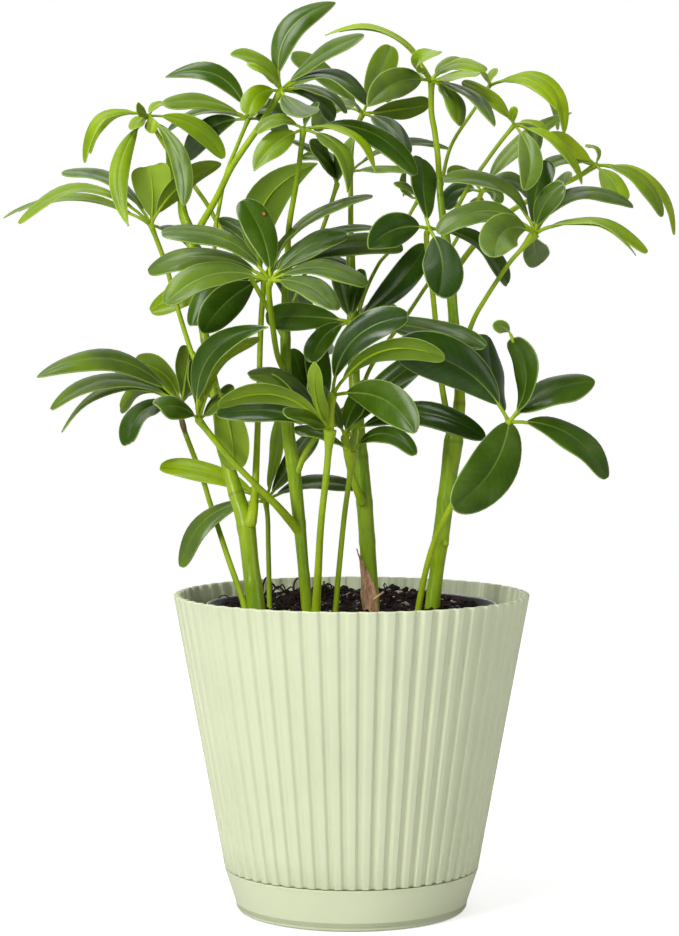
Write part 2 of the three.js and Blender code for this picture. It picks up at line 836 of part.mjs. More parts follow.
function potSolid() {
  const seam = seamHeight + clearance;
  const ringAt = (z) => flutedRing(z, potRadiusAt(z), potRadiusAt(z) - fluteDepth);
  const outside = loft([ringAt(seam), ringAt(potTop)], { isFluted: true });
  const footTop = saucerRadiusAt(seamHeight) - saucerWall - footGap;
  const footBase = saucerRadiusAt(saucerFloor) - saucerWall - footGap - footTaper;
  const sunk = seam + past;
  const foot = turned([[0, saucerFloor], [footBase, saucerFloor], [footTop, sunk], [0, sunk]], roundSides);
  const floorTop = saucerFloor + potFloor;
  const hollow = turned(
    [
      [0, floorTop],
      [footBase - potWall, floorTop],
      [footTop - potWall, seam],
      [potRadiusAt(potTop) - fluteDepth - mouthWall, potTop],
      [potRadiusAt(potTop) - fluteDepth - mouthWall, potTop + past],
      [0, potTop + past],
    ],
    roundSides
  );
  const shell = outside.add(foot).subtract(hollow);
  return withDrainHoles(shell, footBase * drainCircle, saucerFloor - past, floorTop + past).simplify(potWithin);
}

function saucerSolid() {
  return turned(
    [
      [0, 0],
      [saucerBaseWidth / 2, 0],
      [saucerRadiusAt(saucerCorner), saucerCorner],
      [saucerRadiusAt(seamHeight - saucerLip), seamHeight - saucerLip],
      [saucerRadiusAt(seamHeight) - saucerLip / 2, seamHeight],
      [saucerRadiusAt(seamHeight) - saucerWall, seamHeight],
      [saucerRadiusAt(saucerFloor) - saucerWall, saucerFloor],
      [0, saucerFloor],
    ],
    roundSides
  );
}

const nurseryBase = saucerFloor + potFloor;

function nurserySolid() {
  const [top, base] = [nurseryWidth / 2, nurseryBaseWidth / 2];
  const shell = turned(
    [
      [0, nurseryBase],
      [base, nurseryBase],
      [top - rimStep, nurseryTop - nurseryRim],
      [top, nurseryTop - nurseryRim],
      [top, nurseryTop],
      [top - rimStep - nurseryWall, nurseryTop],
      [base - nurseryWall, nurseryBase + nurseryWall],
      [0, nurseryBase + nurseryWall],
    ],
    nurserySides
  );
  return withDrainHoles(shell, base * drainCircle, nurseryBase - past, nurseryBase + nurseryWall + past);
}

// The soil's top is a little uneven, and higher towards the back of the pot.
function soilHeightAt(x, y) {
  const back = THREE.MathUtils.smoothstep(y, 15, 52);
  return soilTop + soilBackRise * back + soilUneven * Math.sin(x * 0.21 + 1) * Math.cos(y * 0.17);
}

function soilSolid() {
  const floor = nurseryBase + nurseryWall;
  const inside = (z) => {
    const share = (z - nurseryBase) / (nurseryTop - nurseryBase);
    return lerp(nurseryBaseWidth / 2, nurseryWidth / 2 - rimStep, share) - nurseryWall - clearance;
  };
  const edge = inside(soilTop) - clearance;
  const profile = [[0, floor], [inside(floor), floor]];
  for (const share of soilRings) {
    profile.push([edge * share, soilTop]);
  }
  const points = profile.map(([radius, height]) => new THREE.Vector2(radius, height));
  const geometry = withoutExtras(new THREE.LatheGeometry(points, nurserySides).rotateX(Math.PI / 2));
  const position = geometry.attributes.position;
  const highest = nurseryTop - soilBelowRim;
  for (let n = 0; n < position.count; n += 1) {
    const [x, y, z] = [position.getX(n), position.getY(n), position.getZ(n)];
    if (z > floor + past) {
      const atRim = Math.hypot(x, y) > edge - past;
      position.setZ(n, Math.min(soilHeightAt(x, y), atRim ? highest : nurseryTop + soilBackRise));
    }
  }
  return toSolid(facingOut(mergeVertices(geometry, 1e-4)));
}

// Assembly.
const group = new THREE.Group();

function addPiece(name, solid, finish) {
  const mesh = new THREE.Mesh(toGeometry(solid), finish);
  mesh.name = name;
  group.add(mesh);
}

addPiece("saucer", saucerSolid(), sagePlastic);
addPiece("pot", potSolid(), sagePlastic);
addPiece("nursery_pot", nurserySolid(), blackPlastic);

let soil = soilSolid();
for (const points of Object.values(stems)) {
  soil = soil.subtract(stemSolid(points, clearance));
}
for (const leaf of leaves.filter(({ on, stalk }) => isRooted(on, stalk[0][1]))) {
  soil = soil.subtract(stalkSolid(leaf, clearance));
}
addPiece("soil", soil, darkSoil);

const grownOn = { stem_c: sheathSolid(), stem_d: budScarSolid() };
for (const [name, points] of Object.entries(stems)) {
  const stem = stemSolid(points);
  addPiece(name, grownOn[name] ? stem.add(grownOn[name]) : stem, stemGreen);
}

const leafSolids = new Map();
for (const leaf of leaves) {
  let solid = leafSolid(leaf);
  if (leaf.on) {
    solid = solid.subtract(stemSolid(stems[leaf.on], clearance));
  }
  const grown = leafSolids.get(leaf.name);
  leafSolids.set(leaf.name, grown ? grown.add(solid) : solid);
}
for (const [name, solid] of leafSolids) {
  addPiece(name, solid, name === "leaf_b4" ? youngGreen : leafGreen);
}

export default group;
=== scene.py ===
import math

import bpy
import numpy as np
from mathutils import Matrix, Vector, noise
from mathutils.bvhtree import BVHTree


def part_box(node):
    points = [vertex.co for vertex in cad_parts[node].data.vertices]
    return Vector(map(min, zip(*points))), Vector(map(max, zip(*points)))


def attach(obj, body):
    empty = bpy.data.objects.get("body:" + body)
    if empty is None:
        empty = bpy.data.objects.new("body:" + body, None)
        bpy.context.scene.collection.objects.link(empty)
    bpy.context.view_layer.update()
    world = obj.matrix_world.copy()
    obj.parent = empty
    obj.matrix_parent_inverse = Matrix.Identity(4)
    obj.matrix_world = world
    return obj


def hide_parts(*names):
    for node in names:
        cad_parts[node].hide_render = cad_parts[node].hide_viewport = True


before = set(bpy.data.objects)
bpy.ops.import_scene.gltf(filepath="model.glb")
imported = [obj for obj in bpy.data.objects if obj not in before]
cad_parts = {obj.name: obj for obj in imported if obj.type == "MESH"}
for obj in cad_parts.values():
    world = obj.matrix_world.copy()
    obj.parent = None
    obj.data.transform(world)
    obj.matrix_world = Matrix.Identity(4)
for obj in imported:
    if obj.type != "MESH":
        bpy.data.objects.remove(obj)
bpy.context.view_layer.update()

# Camera. It stands level with the lower leaves, about 1.2 m in front of the pot's axis, and looks
# slightly down. Plant readings below are in millimetres, as seen from here on the upright plane through
# the pot's axis.
mm = 0.001
eye_distance = 1200
eye_height = 265
eye_across = -5.4
look_down = math.radians(3.15)
photo_height = 936
focal_pixels = 2680
sensor_height = 36

camera_data = bpy.data.cameras.new("camera")
camera_data.sensor_fit = "VERTICAL"
camera_data.sensor_height = sensor_height
camera_data.lens = focal_pixels / photo_height * sensor_height
camera = bpy.data.objects.new("camera", camera_data)
eye = Vector((eye_across, -eye_distance, eye_height)) * mm
camera.location = eye
camera.rotation_euler = (math.pi / 2 - look_down, 0, 0)
bpy.context.scene.collection.objects.link(camera)
bpy.context.scene.camera = camera


# Studio. A white sweep of paper under and behind the pot, a bright room all round, a large soft lamp at
# the left and front that gives the leaves and the flutes their light and dark sides, and weaker ones
# above, at the right and high behind the plant, which the upper faces of the leaves reflect.
class Wiring:
    """Makes the nodes of one tree. A node is given numbers, colours and the outputs of other nodes."""

    def __init__(self, tree):
        self.tree = tree

    def give(self, sockets, values):
        for label, value in values.items():
            if isinstance(value, (int, float, tuple)):
                sockets[label].default_value = value
            else:
                self.tree.links.new(value, sockets[label])

    def node(self, kind, values=None, **settings):
        node = self.tree.nodes.new("ShaderNode" + kind)
        for setting, value in settings.items():
            setattr(node, setting, value)
        self.give(node.inputs, values or {})
        return node

    def math(self, operation, *values, clamp=False):
        node = self.node("Math", dict(enumerate(values)), operation=operation, use_clamp=clamp)
        return node.outputs["Value"]


def new_material(name):
    """A new material, the wiring of its nodes, and its shader's sockets."""
    material = bpy.data.materials.new(name)
    material.use_nodes = True
    tree = material.node_tree
    return material, Wiring(tree), tree.nodes["Principled BSDF"].inputs


room_white = (1.0, 1.0, 1.0, 1.0)
room_strength = 0.25
world = bpy.data.worlds.new("bright room")
world.use_nodes = True
world.node_tree.nodes["Background"].inputs["Color"].default_value = room_white
world.node_tree.nodes["Background"].inputs["Strength"].default_value = room_strength
bpy.context.scene.world = world
bpy.context.scene.view_settings.view_transform = "Standard"


def soft_lamp(name, place_m, aim_m, width_m, power_w):
    lamp_data = bpy.data.lights.new(name, "AREA")
    lamp_data.shape = "SQUARE"
    lamp_data.size = width_m
    lamp_data.energy = power_w
    lamp = bpy.data.objects.new(name, lamp_data)
    lamp.location = place_m
    lamp.rotation_euler = (Vector(aim_m) - Vector(place_m)).to_track_quat("-Z", "Y").to_euler()
    bpy.context.scene.collection.objects.link(lamp)


plant_middle = (0, 0, 0.2)
soft_lamp("key lamp", (-1.0, -1.25, 0.65), plant_middle, width_m=0.5, power_w=17.5)
soft_lamp("fill lamp", (1.2, -1.1, 0.5), plant_middle, width_m=0.8, power_w=6)
soft_lamp("top lamp", (-0.35, -0.3, 1.4), plant_middle, width_m=0.6, power_w=11)
soft_lamp("back lamp", (-0.2, 0.75, 1.25), plant_middle, width_m=1.3, power_w=5)

sweep_front = -3.0
sweep_back = 1.6
sweep_radius = 0.8
sweep_half_width = 4.0
sweep_height = 3.5
sweep_steps = 12
sweep_route = [(sweep_front, 0.0), (sweep_back, 0.0)]
for n in range(1, sweep_steps + 1):
    turn = math.pi / 2 * n / sweep_steps
    sweep_route.append((sweep_back + sweep_radius * math.sin(turn), sweep_radius * (1 - math.cos(turn))))
sweep_route.append((sweep_back + sweep_radius, sweep_height))
sweep_points = []
for y, z in sweep_route:
    sweep_points += [(-sweep_half_width, y, z), (sweep_half_width, y, z)]
sweep_faces = [(2 * n, 2 * n + 1, 2 * n + 3, 2 * n + 2) for n in range(len(sweep_route) - 1)]
sweep_mesh = bpy.data.meshes.new("paper_sweep")
sweep_mesh.from_pydata(sweep_points, [], sweep_faces)
sweep_mesh.polygons.foreach_set("use_smooth", [True] * len(sweep_faces))
sweep = bpy.data.objects.new("paper_sweep", sweep_mesh)
bpy.context.scene.collection.objects.link(sweep)

paper_grey = (0.7, 0.7, 0.7, 1)
paper_roughness = 0.9
paper_glow_strength = 0.66
paper, wiring, surface = new_material("white paper")
seen = wiring.node("LightPath").outputs["Is Camera Ray"]
wiring.give(surface, {
    "Base Color": paper_grey,
    "Roughness": paper_roughness,
    "Emission Color": room_white,
    "Emission Strength": wiring.math("MULTIPLY", seen, paper_glow_strength),
})
sweep_mesh.materials.append(paper)


# Pot. One moulding of pale sage plastic: a thin tapered wall with sixty upright flutes that show inside and
# outside, a plain foot that drops into the saucer, and a floor.
flute_count = 60
flute_depth = 1.4 * mm
flute_columns = 14
ridge_edge = 0.225
valley_edge = 0.345
wall = 1.9 * mm
lip_round = 0.7 * mm
seam_gap = 0.3 * mm
seam_inset = 2 * mm
flute_foot = 0.4 * mm
foot_top_gap, foot_top_drop = 0.1 * mm, 1 * mm
floor_thickness = 2 * mm

pot_low, pot_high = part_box("pot")
_, saucer_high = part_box("saucer")
pot_top = pot_high.z
mouth_radius = (pot_high.x - pot_low.x) / 2
seam_height = saucer_high.z + seam_gap
seam_radius = 57.3 * mm
foot_base = pot_low.z
foot_radius_top = 54.9 * mm
foot_radius_base = 52.0 * mm
pot_floor = foot_base + floor_thickness


def value_group(name, inputs, outputs):
    """A node group. Inputs are given with their usual values, and the output called Color is a colour."""
    group = bpy.data.node_groups.new(name, "ShaderNodeTree")
    for label, value in inputs.items():
        kind = "NodeSocketColor" if isinstance(value, tuple) else "NodeSocketFloat"
        socket = group.interface.new_socket(label, in_out="INPUT", socket_type=kind)
        socket.default_value = value
    for label in outputs:
        kind = "NodeSocketColor" if label == "Color" else "NodeSocketFloat"
        group.interface.new_socket(label, in_out="OUTPUT", socket_type=kind)
    start = group.nodes.new("NodeGroupInput")
    end = group.nodes.new("NodeGroupOutput")
    return group, Wiring(group), start.outputs, end.inputs


def mix_colors(wiring, factor, first, second):
    node = wiring.node("Mix", data_type="RGBA")
    wiring.give(node.inputs, {"Factor": factor, 6: first, 7: second})
    return node.outputs[2]


def noise_value(wiring, where, scale, detail):
    return wiring.node("TexNoise", {"Vector": where, "Scale": scale, "Detail": detail}).outputs["Fac"]


def mottle_group():
    """Cloudy change between two colours, with a fine grain on it, for anything moulded, grown or dug."""
    usual = {
        "Light Color": (0.8, 0.8, 0.8, 1), "Dark Color": (0.4, 0.4, 0.4, 1), "Cloud Scale": 30.0,
        "Grain Scale": 600.0, "Grain Share": 0.2, "Stretch": 1.0,
    }
    group, wiring, given, out = value_group("cloudy mottle", usual, ("Color", "Cloud", "Grain"))
    where = wiring.node("TexCoord").outputs["Object"]
    split = wiring.node("SeparateXYZ", {"Vector": where}).outputs
    height = wiring.math("MULTIPLY", split["Z"], given["Stretch"])
    joined = wiring.node("CombineXYZ", {"X": split["X"], "Y": split["Y"], "Z": height}).outputs["Vector"]
    clouds = noise_value(wiring, joined, given["Cloud Scale"], 3)
    grain = noise_value(wiring, joined, given["Grain Scale"], 2)
    blend = wiring.node("Mix", {"Factor": given["Grain Share"], "A": clouds, "B": grain}).outputs["Result"]
    spread = wiring.node("MapRange", {"Value": blend, "From Min": 0.3, "From Max": 0.7}).outputs["Result"]
    color = mix_colors(wiring, spread, given["Dark Color"], given["Light Color"])
    wiring.give(out, {"Color": color, "Cloud": spread, "Grain": grain})
    return group


mottle = mottle_group()


def add_bump(wiring, surface, height, strength, distance):
    bump = wiring.node("Bump", {"Strength": strength, "Distance": distance, "Height": height})
    wiring.give(surface, {"Normal": bump.outputs["Normal"]})


def mottled_material(name, light, dark, rough, relief, shine, **scales):
    """A material whose colour, roughness and relief all follow the mottle.

    Rough is the lowest and the highest roughness, and relief the bump's strength and height.
    """
    material, wiring, surface = new_material(name)
    values = {label.replace("_", " "): value for label, value in scales.items()}
    values.update({"Light Color": light, "Dark Color": dark})
    cloudy = wiring.node("Group", values, node_tree=mottle).outputs
    spread = wiring.node("MapRange", {"Value": cloudy["Cloud"], "To Min": rough[0], "To Max": rough[1]})
    wiring.give(surface, {
        "Base Color": cloudy["Color"],
        "Roughness": spread.outputs["Result"],
        "Specular IOR Level": shine,
    })
    add_bump(wiring, surface, cloudy["Grain"], *relief)
    return material


satin_spread = 0.06
orange_peel = (0.12, 0.2 * mm)
plastic_shine = 0.5


def moulded_plastic(name, light, dark, rough, grain_scale):
    """Satin moulded plastic, with a faint orange-peel grain and slightly cloudy colour."""
    satin = (rough - satin_spread, rough + satin_spread)
    return mottled_material(name, light, dark, satin, orange_peel, plastic_shine, Grain_Scale=grain_scale)


sage_plastic = moulded_plastic(
    "pale sage plastic", (0.635, 0.68, 0.465, 1), (0.595, 0.64, 0.435, 1), 0.46, 1800.0
)


def grid_faces(rows, columns, first=0, closed=False, flip=False, capped=False):
    """Four-sided faces of a grid of points. A closed grid joins its last column to its first.

    A capped one gets a flat face over its first and its last row too.
    """
    faces = []
    for r in range(rows - 1):
        for c in range(columns if closed else columns - 1):
            d = (c + 1) % columns
            face = (r * columns + c, r * columns + d, (r + 1) * columns + d, (r + 1) * columns + c)
            faces.append(tuple(first + n for n in (reversed(face) if flip else face)))
    if capped:
        faces.append(tuple(reversed(range(columns))))
        faces.append(tuple((rows - 1) * columns + c for c in range(columns)))
    return faces


def new_piece(name, points, faces, materials, face_materials=None, values=None):
    """One smooth mesh piece in the scene; values holds numbers that its material reads at each point."""
    mesh = bpy.data.meshes.new(name)
    mesh.from_pydata([tuple(p) for p in points], [], faces)
    for material in materials:
        mesh.materials.append(material)
    if face_materials is not None:
        mesh.polygons.foreach_set("material_index", face_materials)
    mesh.polygons.foreach_set("use_smooth", [True] * len(mesh.polygons))
    for label, numbers in (values or {}).items():
        attribute = mesh.attributes.new(label, "FLOAT", "POINT")
        attribute.data.foreach_set("value", np.asarray(numbers, dtype=np.float32))
    piece = bpy.data.objects.new(name, mesh)
    bpy.context.scene.collection.objects.link(piece)
    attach(piece, "root")
    return piece


def flute_share(angles):
    """How deep the flutes are at each angle: 0 on a ridge and 1 in a valley. A ridge faces the front."""
    turn = (angles + math.pi / 2) / (2 * math.pi) * flute_count
    from_ridge = np.abs(turn - np.round(turn))
    rise = np.clip((from_ridge - ridge_edge) / (valley_edge - ridge_edge), 0, 1)
    return rise * rise * (3 - 2 * rise)


def turned_rings(profile, angles):
    """Points of a turned skin. A profile entry is a radius, a height and the flutes' share there."""
    flutes = flute_share(angles)
    rings = []
    for radius, height, fluted in profile:
        radii = radius - flute_depth * fluted * flutes
        level = np.full_like(radii, height)
        rings.append(np.stack([radii * np.cos(angles), radii * np.sin(angles), level], 1))
    return np.concatenate(rings)


def turned_piece(name, profile, columns, material):
    angles = np.arange(columns) * 2 * math.pi / columns - math.pi / 2
    points = turned_rings(profile, angles)
    faces = grid_faces(len(profile), columns, closed=True)
    return new_piece(name, points, faces, [material])


def pot_radius(height):
    share = (height - seam_height) / (pot_top - seam_height)
    return seam_radius + (mouth_radius - seam_radius) * share


pot_profile = [
    (0.0, foot_base, 0),
    (foot_radius_base, foot_base, 0),
    (foot_radius_top, seam_height - foot_top_gap, 0),
    (seam_radius - seam_inset, seam_height, 0.2),
    (seam_radius - flute_foot, seam_height, 1),
]
for share in np.linspace(0, 1, 11):
    height = seam_height + flute_foot + share * (pot_top - seam_height - flute_foot - lip_round)
    pot_profile.append((pot_radius(height), height, 1))
for turn in np.linspace(0.25, 1, 4) * math.pi / 2:
    outer_radius = mouth_radius - lip_round * (1 - math.cos(turn))
    pot_profile.append((outer_radius, pot_top - lip_round * (1 - math.sin(turn)), 1))
for turn in np.linspace(0, 1, 5) * math.pi / 2:
    inner_radius = mouth_radius - wall + lip_round * (1 - math.sin(turn))
    pot_profile.append((inner_radius, pot_top - lip_round * (1 - math.cos(turn)), 1))
for share in np.linspace(0.1, 1, 8):
    height = pot_top - share * (pot_top - seam_height)
    pot_profile.append((pot_radius(height) - wall, height, 1 - share))
pot_profile += [
    (foot_radius_top - wall, seam_height - foot_top_drop, 0),
    (foot_radius_base - wall, pot_floor, 0),
    (0.0, pot_floor, 0),
]
pot = turned_piece("pot_moulding", pot_profile, flute_count * flute_columns, sage_plastic)
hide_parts("pot")


# Saucer. A shallow cup of the same sage plastic that clips over the pot's foot and carries on its taper
# down to a slightly rounded base, with a thin lip at the seam.
saucer_base_radius = 50.0 * mm
saucer_side_base = 51.0 * mm
saucer_wall = 1.8 * mm
saucer_corner = 1.6 * mm
saucer_lip = 0.5 * mm
saucer_floor = 2 * mm
saucer_base_edge = 1 * mm
saucer_columns = 240
saucer_top = saucer_high.z
flat_radius = saucer_base_radius - saucer_base_edge


def saucer_radius(height):
    return saucer_side_base + (seam_radius - saucer_side_base) * height / saucer_top


saucer_profile = [(0.0, 0.0, 0), (flat_radius, 0.0, 0)]
corner_reach = saucer_radius(saucer_corner) - flat_radius
for turn in np.linspace(0.2, 1, 5) * math.pi / 2:
    height = saucer_corner * (1 - math.cos(turn))
    saucer_profile.append((flat_radius + corner_reach * math.sin(turn), height, 0))
for share in np.linspace(0.15, 1, 6):
    height = saucer_corner + share * (saucer_top - saucer_lip - saucer_corner)
    saucer_profile.append((saucer_radius(height), height, 0))
for turn in np.linspace(0.25, 1, 4) * math.pi / 2:
    lip_radius = saucer_radius(saucer_top) - saucer_lip * (1 - math.cos(turn))
    saucer_profile.append((lip_radius, saucer_top - saucer_lip * (1 - math.sin(turn)), 0))
saucer_profile += [
    (saucer_radius(saucer_top) - saucer_wall, saucer_top, 0),
    (saucer_radius(saucer_floor) - saucer_wall, saucer_floor, 0),
    (0.0, saucer_floor, 0),
]
saucer = turned_piece("saucer_moulding", saucer_profile, saucer_columns, sage_plastic)
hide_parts("saucer")


# Grower's pot. A thin black plastic pot that the plant was raised in. It stands on the floor of the sage
# pot, and its rolled rim shows a little above the soil.
nursery_low, nursery_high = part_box("nursery_pot")
nursery_top = nursery_high.z
nursery_radius = (nursery_high.x - nursery_low.x) / 2
nursery_base_radius = 43.0 * mm
nursery_wall = 1.2 * mm
nursery_rim = 2.4 * mm
rim_step = 1.0 * mm
rim_round = 0.6 * mm
rim_bevel = rim_round * 0.3
nursery_columns = 160
rim_inside = nursery_radius - rim_step - nursery_wall

nursery_profile = [
    (0.0, nursery_low.z, 0),
    (nursery_base_radius, nursery_low.z, 0),
    (nursery_radius - rim_step, nursery_top - nursery_rim, 0),
    (nursery_radius, nursery_top - nursery_rim, 0),
    (nursery_radius, nursery_top - rim_round, 0),
    (nursery_radius - rim_bevel, nursery_top - rim_bevel, 0),
    (nursery_radius - rim_round, nursery_top, 0),
    (rim_inside + rim_round, nursery_top, 0),
    (rim_inside, nursery_top - rim_round, 0),
    (nursery_base_radius - nursery_wall, nursery_low.z + nursery_wall, 0),
    (0.0, nursery_low.z + nursery_wall, 0),
]
black_plastic = moulded_plastic(
    "black grower's plastic", (0.022, 0.023, 0.022, 1), (0.012, 0.012, 0.012, 1), 0.24, 900.0
)
nursery_pot = turned_piece("nursery_pot_moulding", nursery_profile, nursery_columns, black_plastic)
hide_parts("nursery_pot")

# A thin pale ring runs all round the top edge of the rim. It is a painted highlight that stands in for the
# thin light line of gloss on the glossy black rim.
glint_ring_radius = 0.42 * mm
glint_ring_centre = nursery_radius - rim_step
glint_ring_profile = [
    (glint_ring_centre + glint_ring_radius * math.cos(turn), nursery_top + glint_ring_radius * math.sin(turn), 0)
    for turn in np.linspace(0, 2 * math.pi, 9)
]
# The pale grey colour of this ring is the painted highlight on the rim.
painted_glint_plastic = moulded_plastic(
    "painted rim glint on black plastic", (0.90, 0.91, 0.89, 1), (0.40, 0.40, 0.39, 1), 0.4, 900.0
)
painted_rim_glint = turned_piece("nursery_pot_painted_glint", glint_ring_profile, nursery_columns, painted_glint_plastic)


# Soil. Dark moist peat that fills the grower's pot, a little higher at the back, with crumbs, wet flakes,
# chips of bark and pale wood, grains of perlite and curly roots on it, some standing against the far wall.
soil_top = 134 * mm
soil_back_rise = 4.6 * mm
soil_rise_from, soil_rise_length = 15, 37
soil_uneven = 0.7 * mm
ripple_across, ripple_deep = 0.21, 0.17
soil_gap = 0.3 * mm
soil_radius = rim_inside - soil_gap
soil_edge = 6 * mm
soil_below_rim = 1.2 * mm
soil_rings = 70
soil_columns = 180
clump_height = 1.5 * mm
clump_sizes = ((1.0, 140), (0.6, 320), (0.4, 760))
soil_low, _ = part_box("soil")
soil_random = np.random.default_rng(11)


def soil_height(x, y):
    """The same gentle shape as the solid soil's, without its crumbs."""
    back = min(max((y / mm - soil_rise_from) / soil_rise_length, 0), 1)
    back = back * back * (3 - 2 * back)
    ripple = soil_uneven * math.sin(x / mm * ripple_across + 1) * math.cos(y / mm * ripple_deep)
    return soil_top + soil_back_rise * back + ripple


def crumbly_height(x, y):
    spot = Vector((x, y, 0))
    coarse = sum(share * noise.noise(spot * size) for share, size in clump_sizes)
    at_rim = min(max((math.hypot(x, y) - soil_radius + soil_edge) / soil_edge, 0), 1)
    level = soil_height(x, y) + clump_height * coarse
    return level * (1 - at_rim) + min(level, nursery_top - soil_below_rim) * at_rim


soil_points = []
for r in range(soil_rings):
    for c in range(soil_columns):
        radius = soil_radius * (1 - r / soil_rings)
        angle = 2 * math.pi * c / soil_columns
        x = radius * math.cos(angle)
        y = radius * math.sin(angle)
        soil_points.append((x, y, crumbly_height(x, y)))
soil_faces = grid_faces(soil_rings, soil_columns, closed=True)
middle = len(soil_points)
soil_points.append((0, 0, crumbly_height(0, 0)))
last_ring = (soil_rings - 1) * soil_columns
soil_faces += [(last_ring + c, last_ring + (c + 1) % soil_columns, middle) for c in range(soil_columns)]
skirt = len(soil_points)
soil_base_radius = nursery_base_radius - nursery_wall - soil_gap
for c in range(soil_columns):
    angle = 2 * math.pi * c / soil_columns
    soil_points.append((soil_base_radius * math.cos(angle), soil_base_radius * math.sin(angle), soil_low.z))
for c in range(soil_columns):
    d = (c + 1) % soil_columns
    soil_faces.append((c, skirt + c, skirt + d, d))
soil_faces.append(tuple(skirt + c for c in reversed(range(soil_columns))))

peat = mottled_material(
    "moist peat", (0.024, 0.012, 0.009, 1), (0.003, 0.002, 0.0015, 1), (0.5, 0.95), (0.8, 0.8 * mm), 0.15,
    Cloud_Scale=260.0, Grain_Scale=1500.0, Grain_Share=0.5,
)
soil = new_piece("soil_bed", soil_points, soil_faces, [peat])
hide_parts("soil")

golden = (1 + math.sqrt(5)) / 2
ball_corners = []
for a, b in ((1, golden), (-1, golden), (1, -golden), (-1, -golden)):
    ball_corners += [(0, a, b), (a, b, 0), (b, 0, a)]
ball_corners = np.array(ball_corners, dtype=float)
ball_corners /= np.linalg.norm(ball_corners[0])
near_enough = 1.05


def ball_faces(corners):
    """The faces of a closed round crumb: every three corners that are nearest neighbours."""
    side = np.min(np.linalg.norm(corners[0] - corners[1:], axis=1)) * near_enough
    faces = []
    count = len(corners)
    for a in range(count):
        for b in range(a + 1, count):
            for c in range(b + 1, count):
                trio = corners[[a, b, c]]
                if max(np.linalg.norm(trio - np.roll(trio, 1, 0), axis=1)) < side:
                    outward = np.dot(np.cross(trio[1] - trio[0], trio[2] - trio[0]), trio.sum(0)) > 0
                    faces.append((a, b, c) if outward else (a, c, b))
    return faces


crumb_faces = ball_faces(ball_corners)
strewn_share = 0.96
lump_uneven = 0.35
lump_tilt = 0.9
lump_raised = 0.35
bit_relief = (0.5, 0.3 * mm)
bit_rough_spread = 0.1


def turn_about(axis, angle):
    """The matrix of a turn about the x, y or z axis, which are 0, 1 and 2."""
    matrix = np.eye(3)
    a, b = (axis + 1) % 3, (axis + 2) % 3
    matrix[a, a] = matrix[b, b] = math.cos(angle)
    matrix[a, b] = -math.sin(angle)
    matrix[b, a] = math.sin(angle)
    return matrix


class Growing:
    """Gathers the points, faces and carried values of one piece from its parts."""

    def __init__(self, carried=()):
        self.count = 0
        self.points = []
        self.faces = []
        self.materials = []
        self.values = {value: [] for value in carried}

    def add(self, points, faces, material=0, **values):
        self.points.append(np.asarray(points))
        self.faces += [tuple(self.count + n for n in face) for face in faces]
        self.materials += [material] * len(faces)
        for value in self.values:
            self.values[value].append(np.broadcast_to(values.get(value, 0.0), len(points)))
        self.count += len(points)

    def piece(self, name, materials):
        values = {value: np.concatenate(numbers) for value, numbers in self.values.items()}
        return new_piece(name, np.concatenate(self.points), self.faces, materials, self.materials, values)


def scattered(name, count, size_low, size_high, shape, material, random):
    """Small uneven lumps strewn over the soil, each a ball stretched by shape and turned at random."""
    lumps = Growing()
    for _ in range(count):
        radius = soil_radius * strewn_share * math.sqrt(random.random())
        angle = random.random() * 2 * math.pi
        size = size_low + (size_high - size_low) * random.random() ** 2
        lump = ball_corners * (1 + lump_uneven * (random.random((12, 1)) - 0.5)) * np.array(shape) * size
        spin = random.random() * 2 * math.pi
        tilt = (random.random() - 0.5) * lump_tilt
        lump = lump @ turn_about(0, tilt).T @ turn_about(2, spin).T
        x = radius * math.cos(angle)
        y = radius * math.sin(angle)
        lies_at = np.array([x, y, crumbly_height(x, y) + size * shape[2] * lump_raised])
        lumps.add(lump + lies_at, crumb_faces)
    piece = lumps.piece(name, [material])


def soil_bit_material(name, light, dark, rough, shine=0.15, cloud=400.0, stretch=1.0):
    return mottled_material(
        name, light, dark, (rough - bit_rough_spread, rough), bit_relief, shine,
        Cloud_Scale=cloud, Grain_Scale=2500.0, Grain_Share=0.4, Stretch=stretch,
    )


crumb_brown = soil_bit_material("peat crumb", (0.040, 0.020, 0.015, 1), (0.005, 0.003, 0.002, 1), 0.9)
bark_tan = soil_bit_material("bark chip", (0.50, 0.34, 0.19, 1), (0.20, 0.10, 0.055, 1), 0.8)
perlite_white = soil_bit_material("perlite", (0.80, 0.72, 0.68, 1), (0.45, 0.36, 0.30, 1), 0.9)
wet_flake = soil_bit_material("wet flake", (0.055, 0.035, 0.028, 1), (0.010, 0.006, 0.005, 1), 0.3, 1.0)
scattered("soil_crumbs", 1500, 0.5 * mm, 2.0 * mm, (1.1, 0.9, 0.7), crumb_brown, soil_random)
scattered("soil_flakes", 420, 0.6 * mm, 1.8 * mm, (1.3, 0.8, 0.3), wet_flake, soil_random)
scattered("soil_bark", 40, 0.8 * mm, 2.2 * mm, (1.5, 0.5, 0.28), bark_tan, soil_random)
scattered("soil_perlite", 60, 0.5 * mm, 1.1 * mm, (1.0, 0.9, 0.8), perlite_white, soil_random)


def seen_on(tree, across, up):
    """The point of a skin that is seen at a reading, and the way it faces there."""
    aim = (Vector((across, 0, up)) * mm - eye).normalized()
    point, facing, _, _ = tree.ray_cast(eye, aim)
    return point, facing


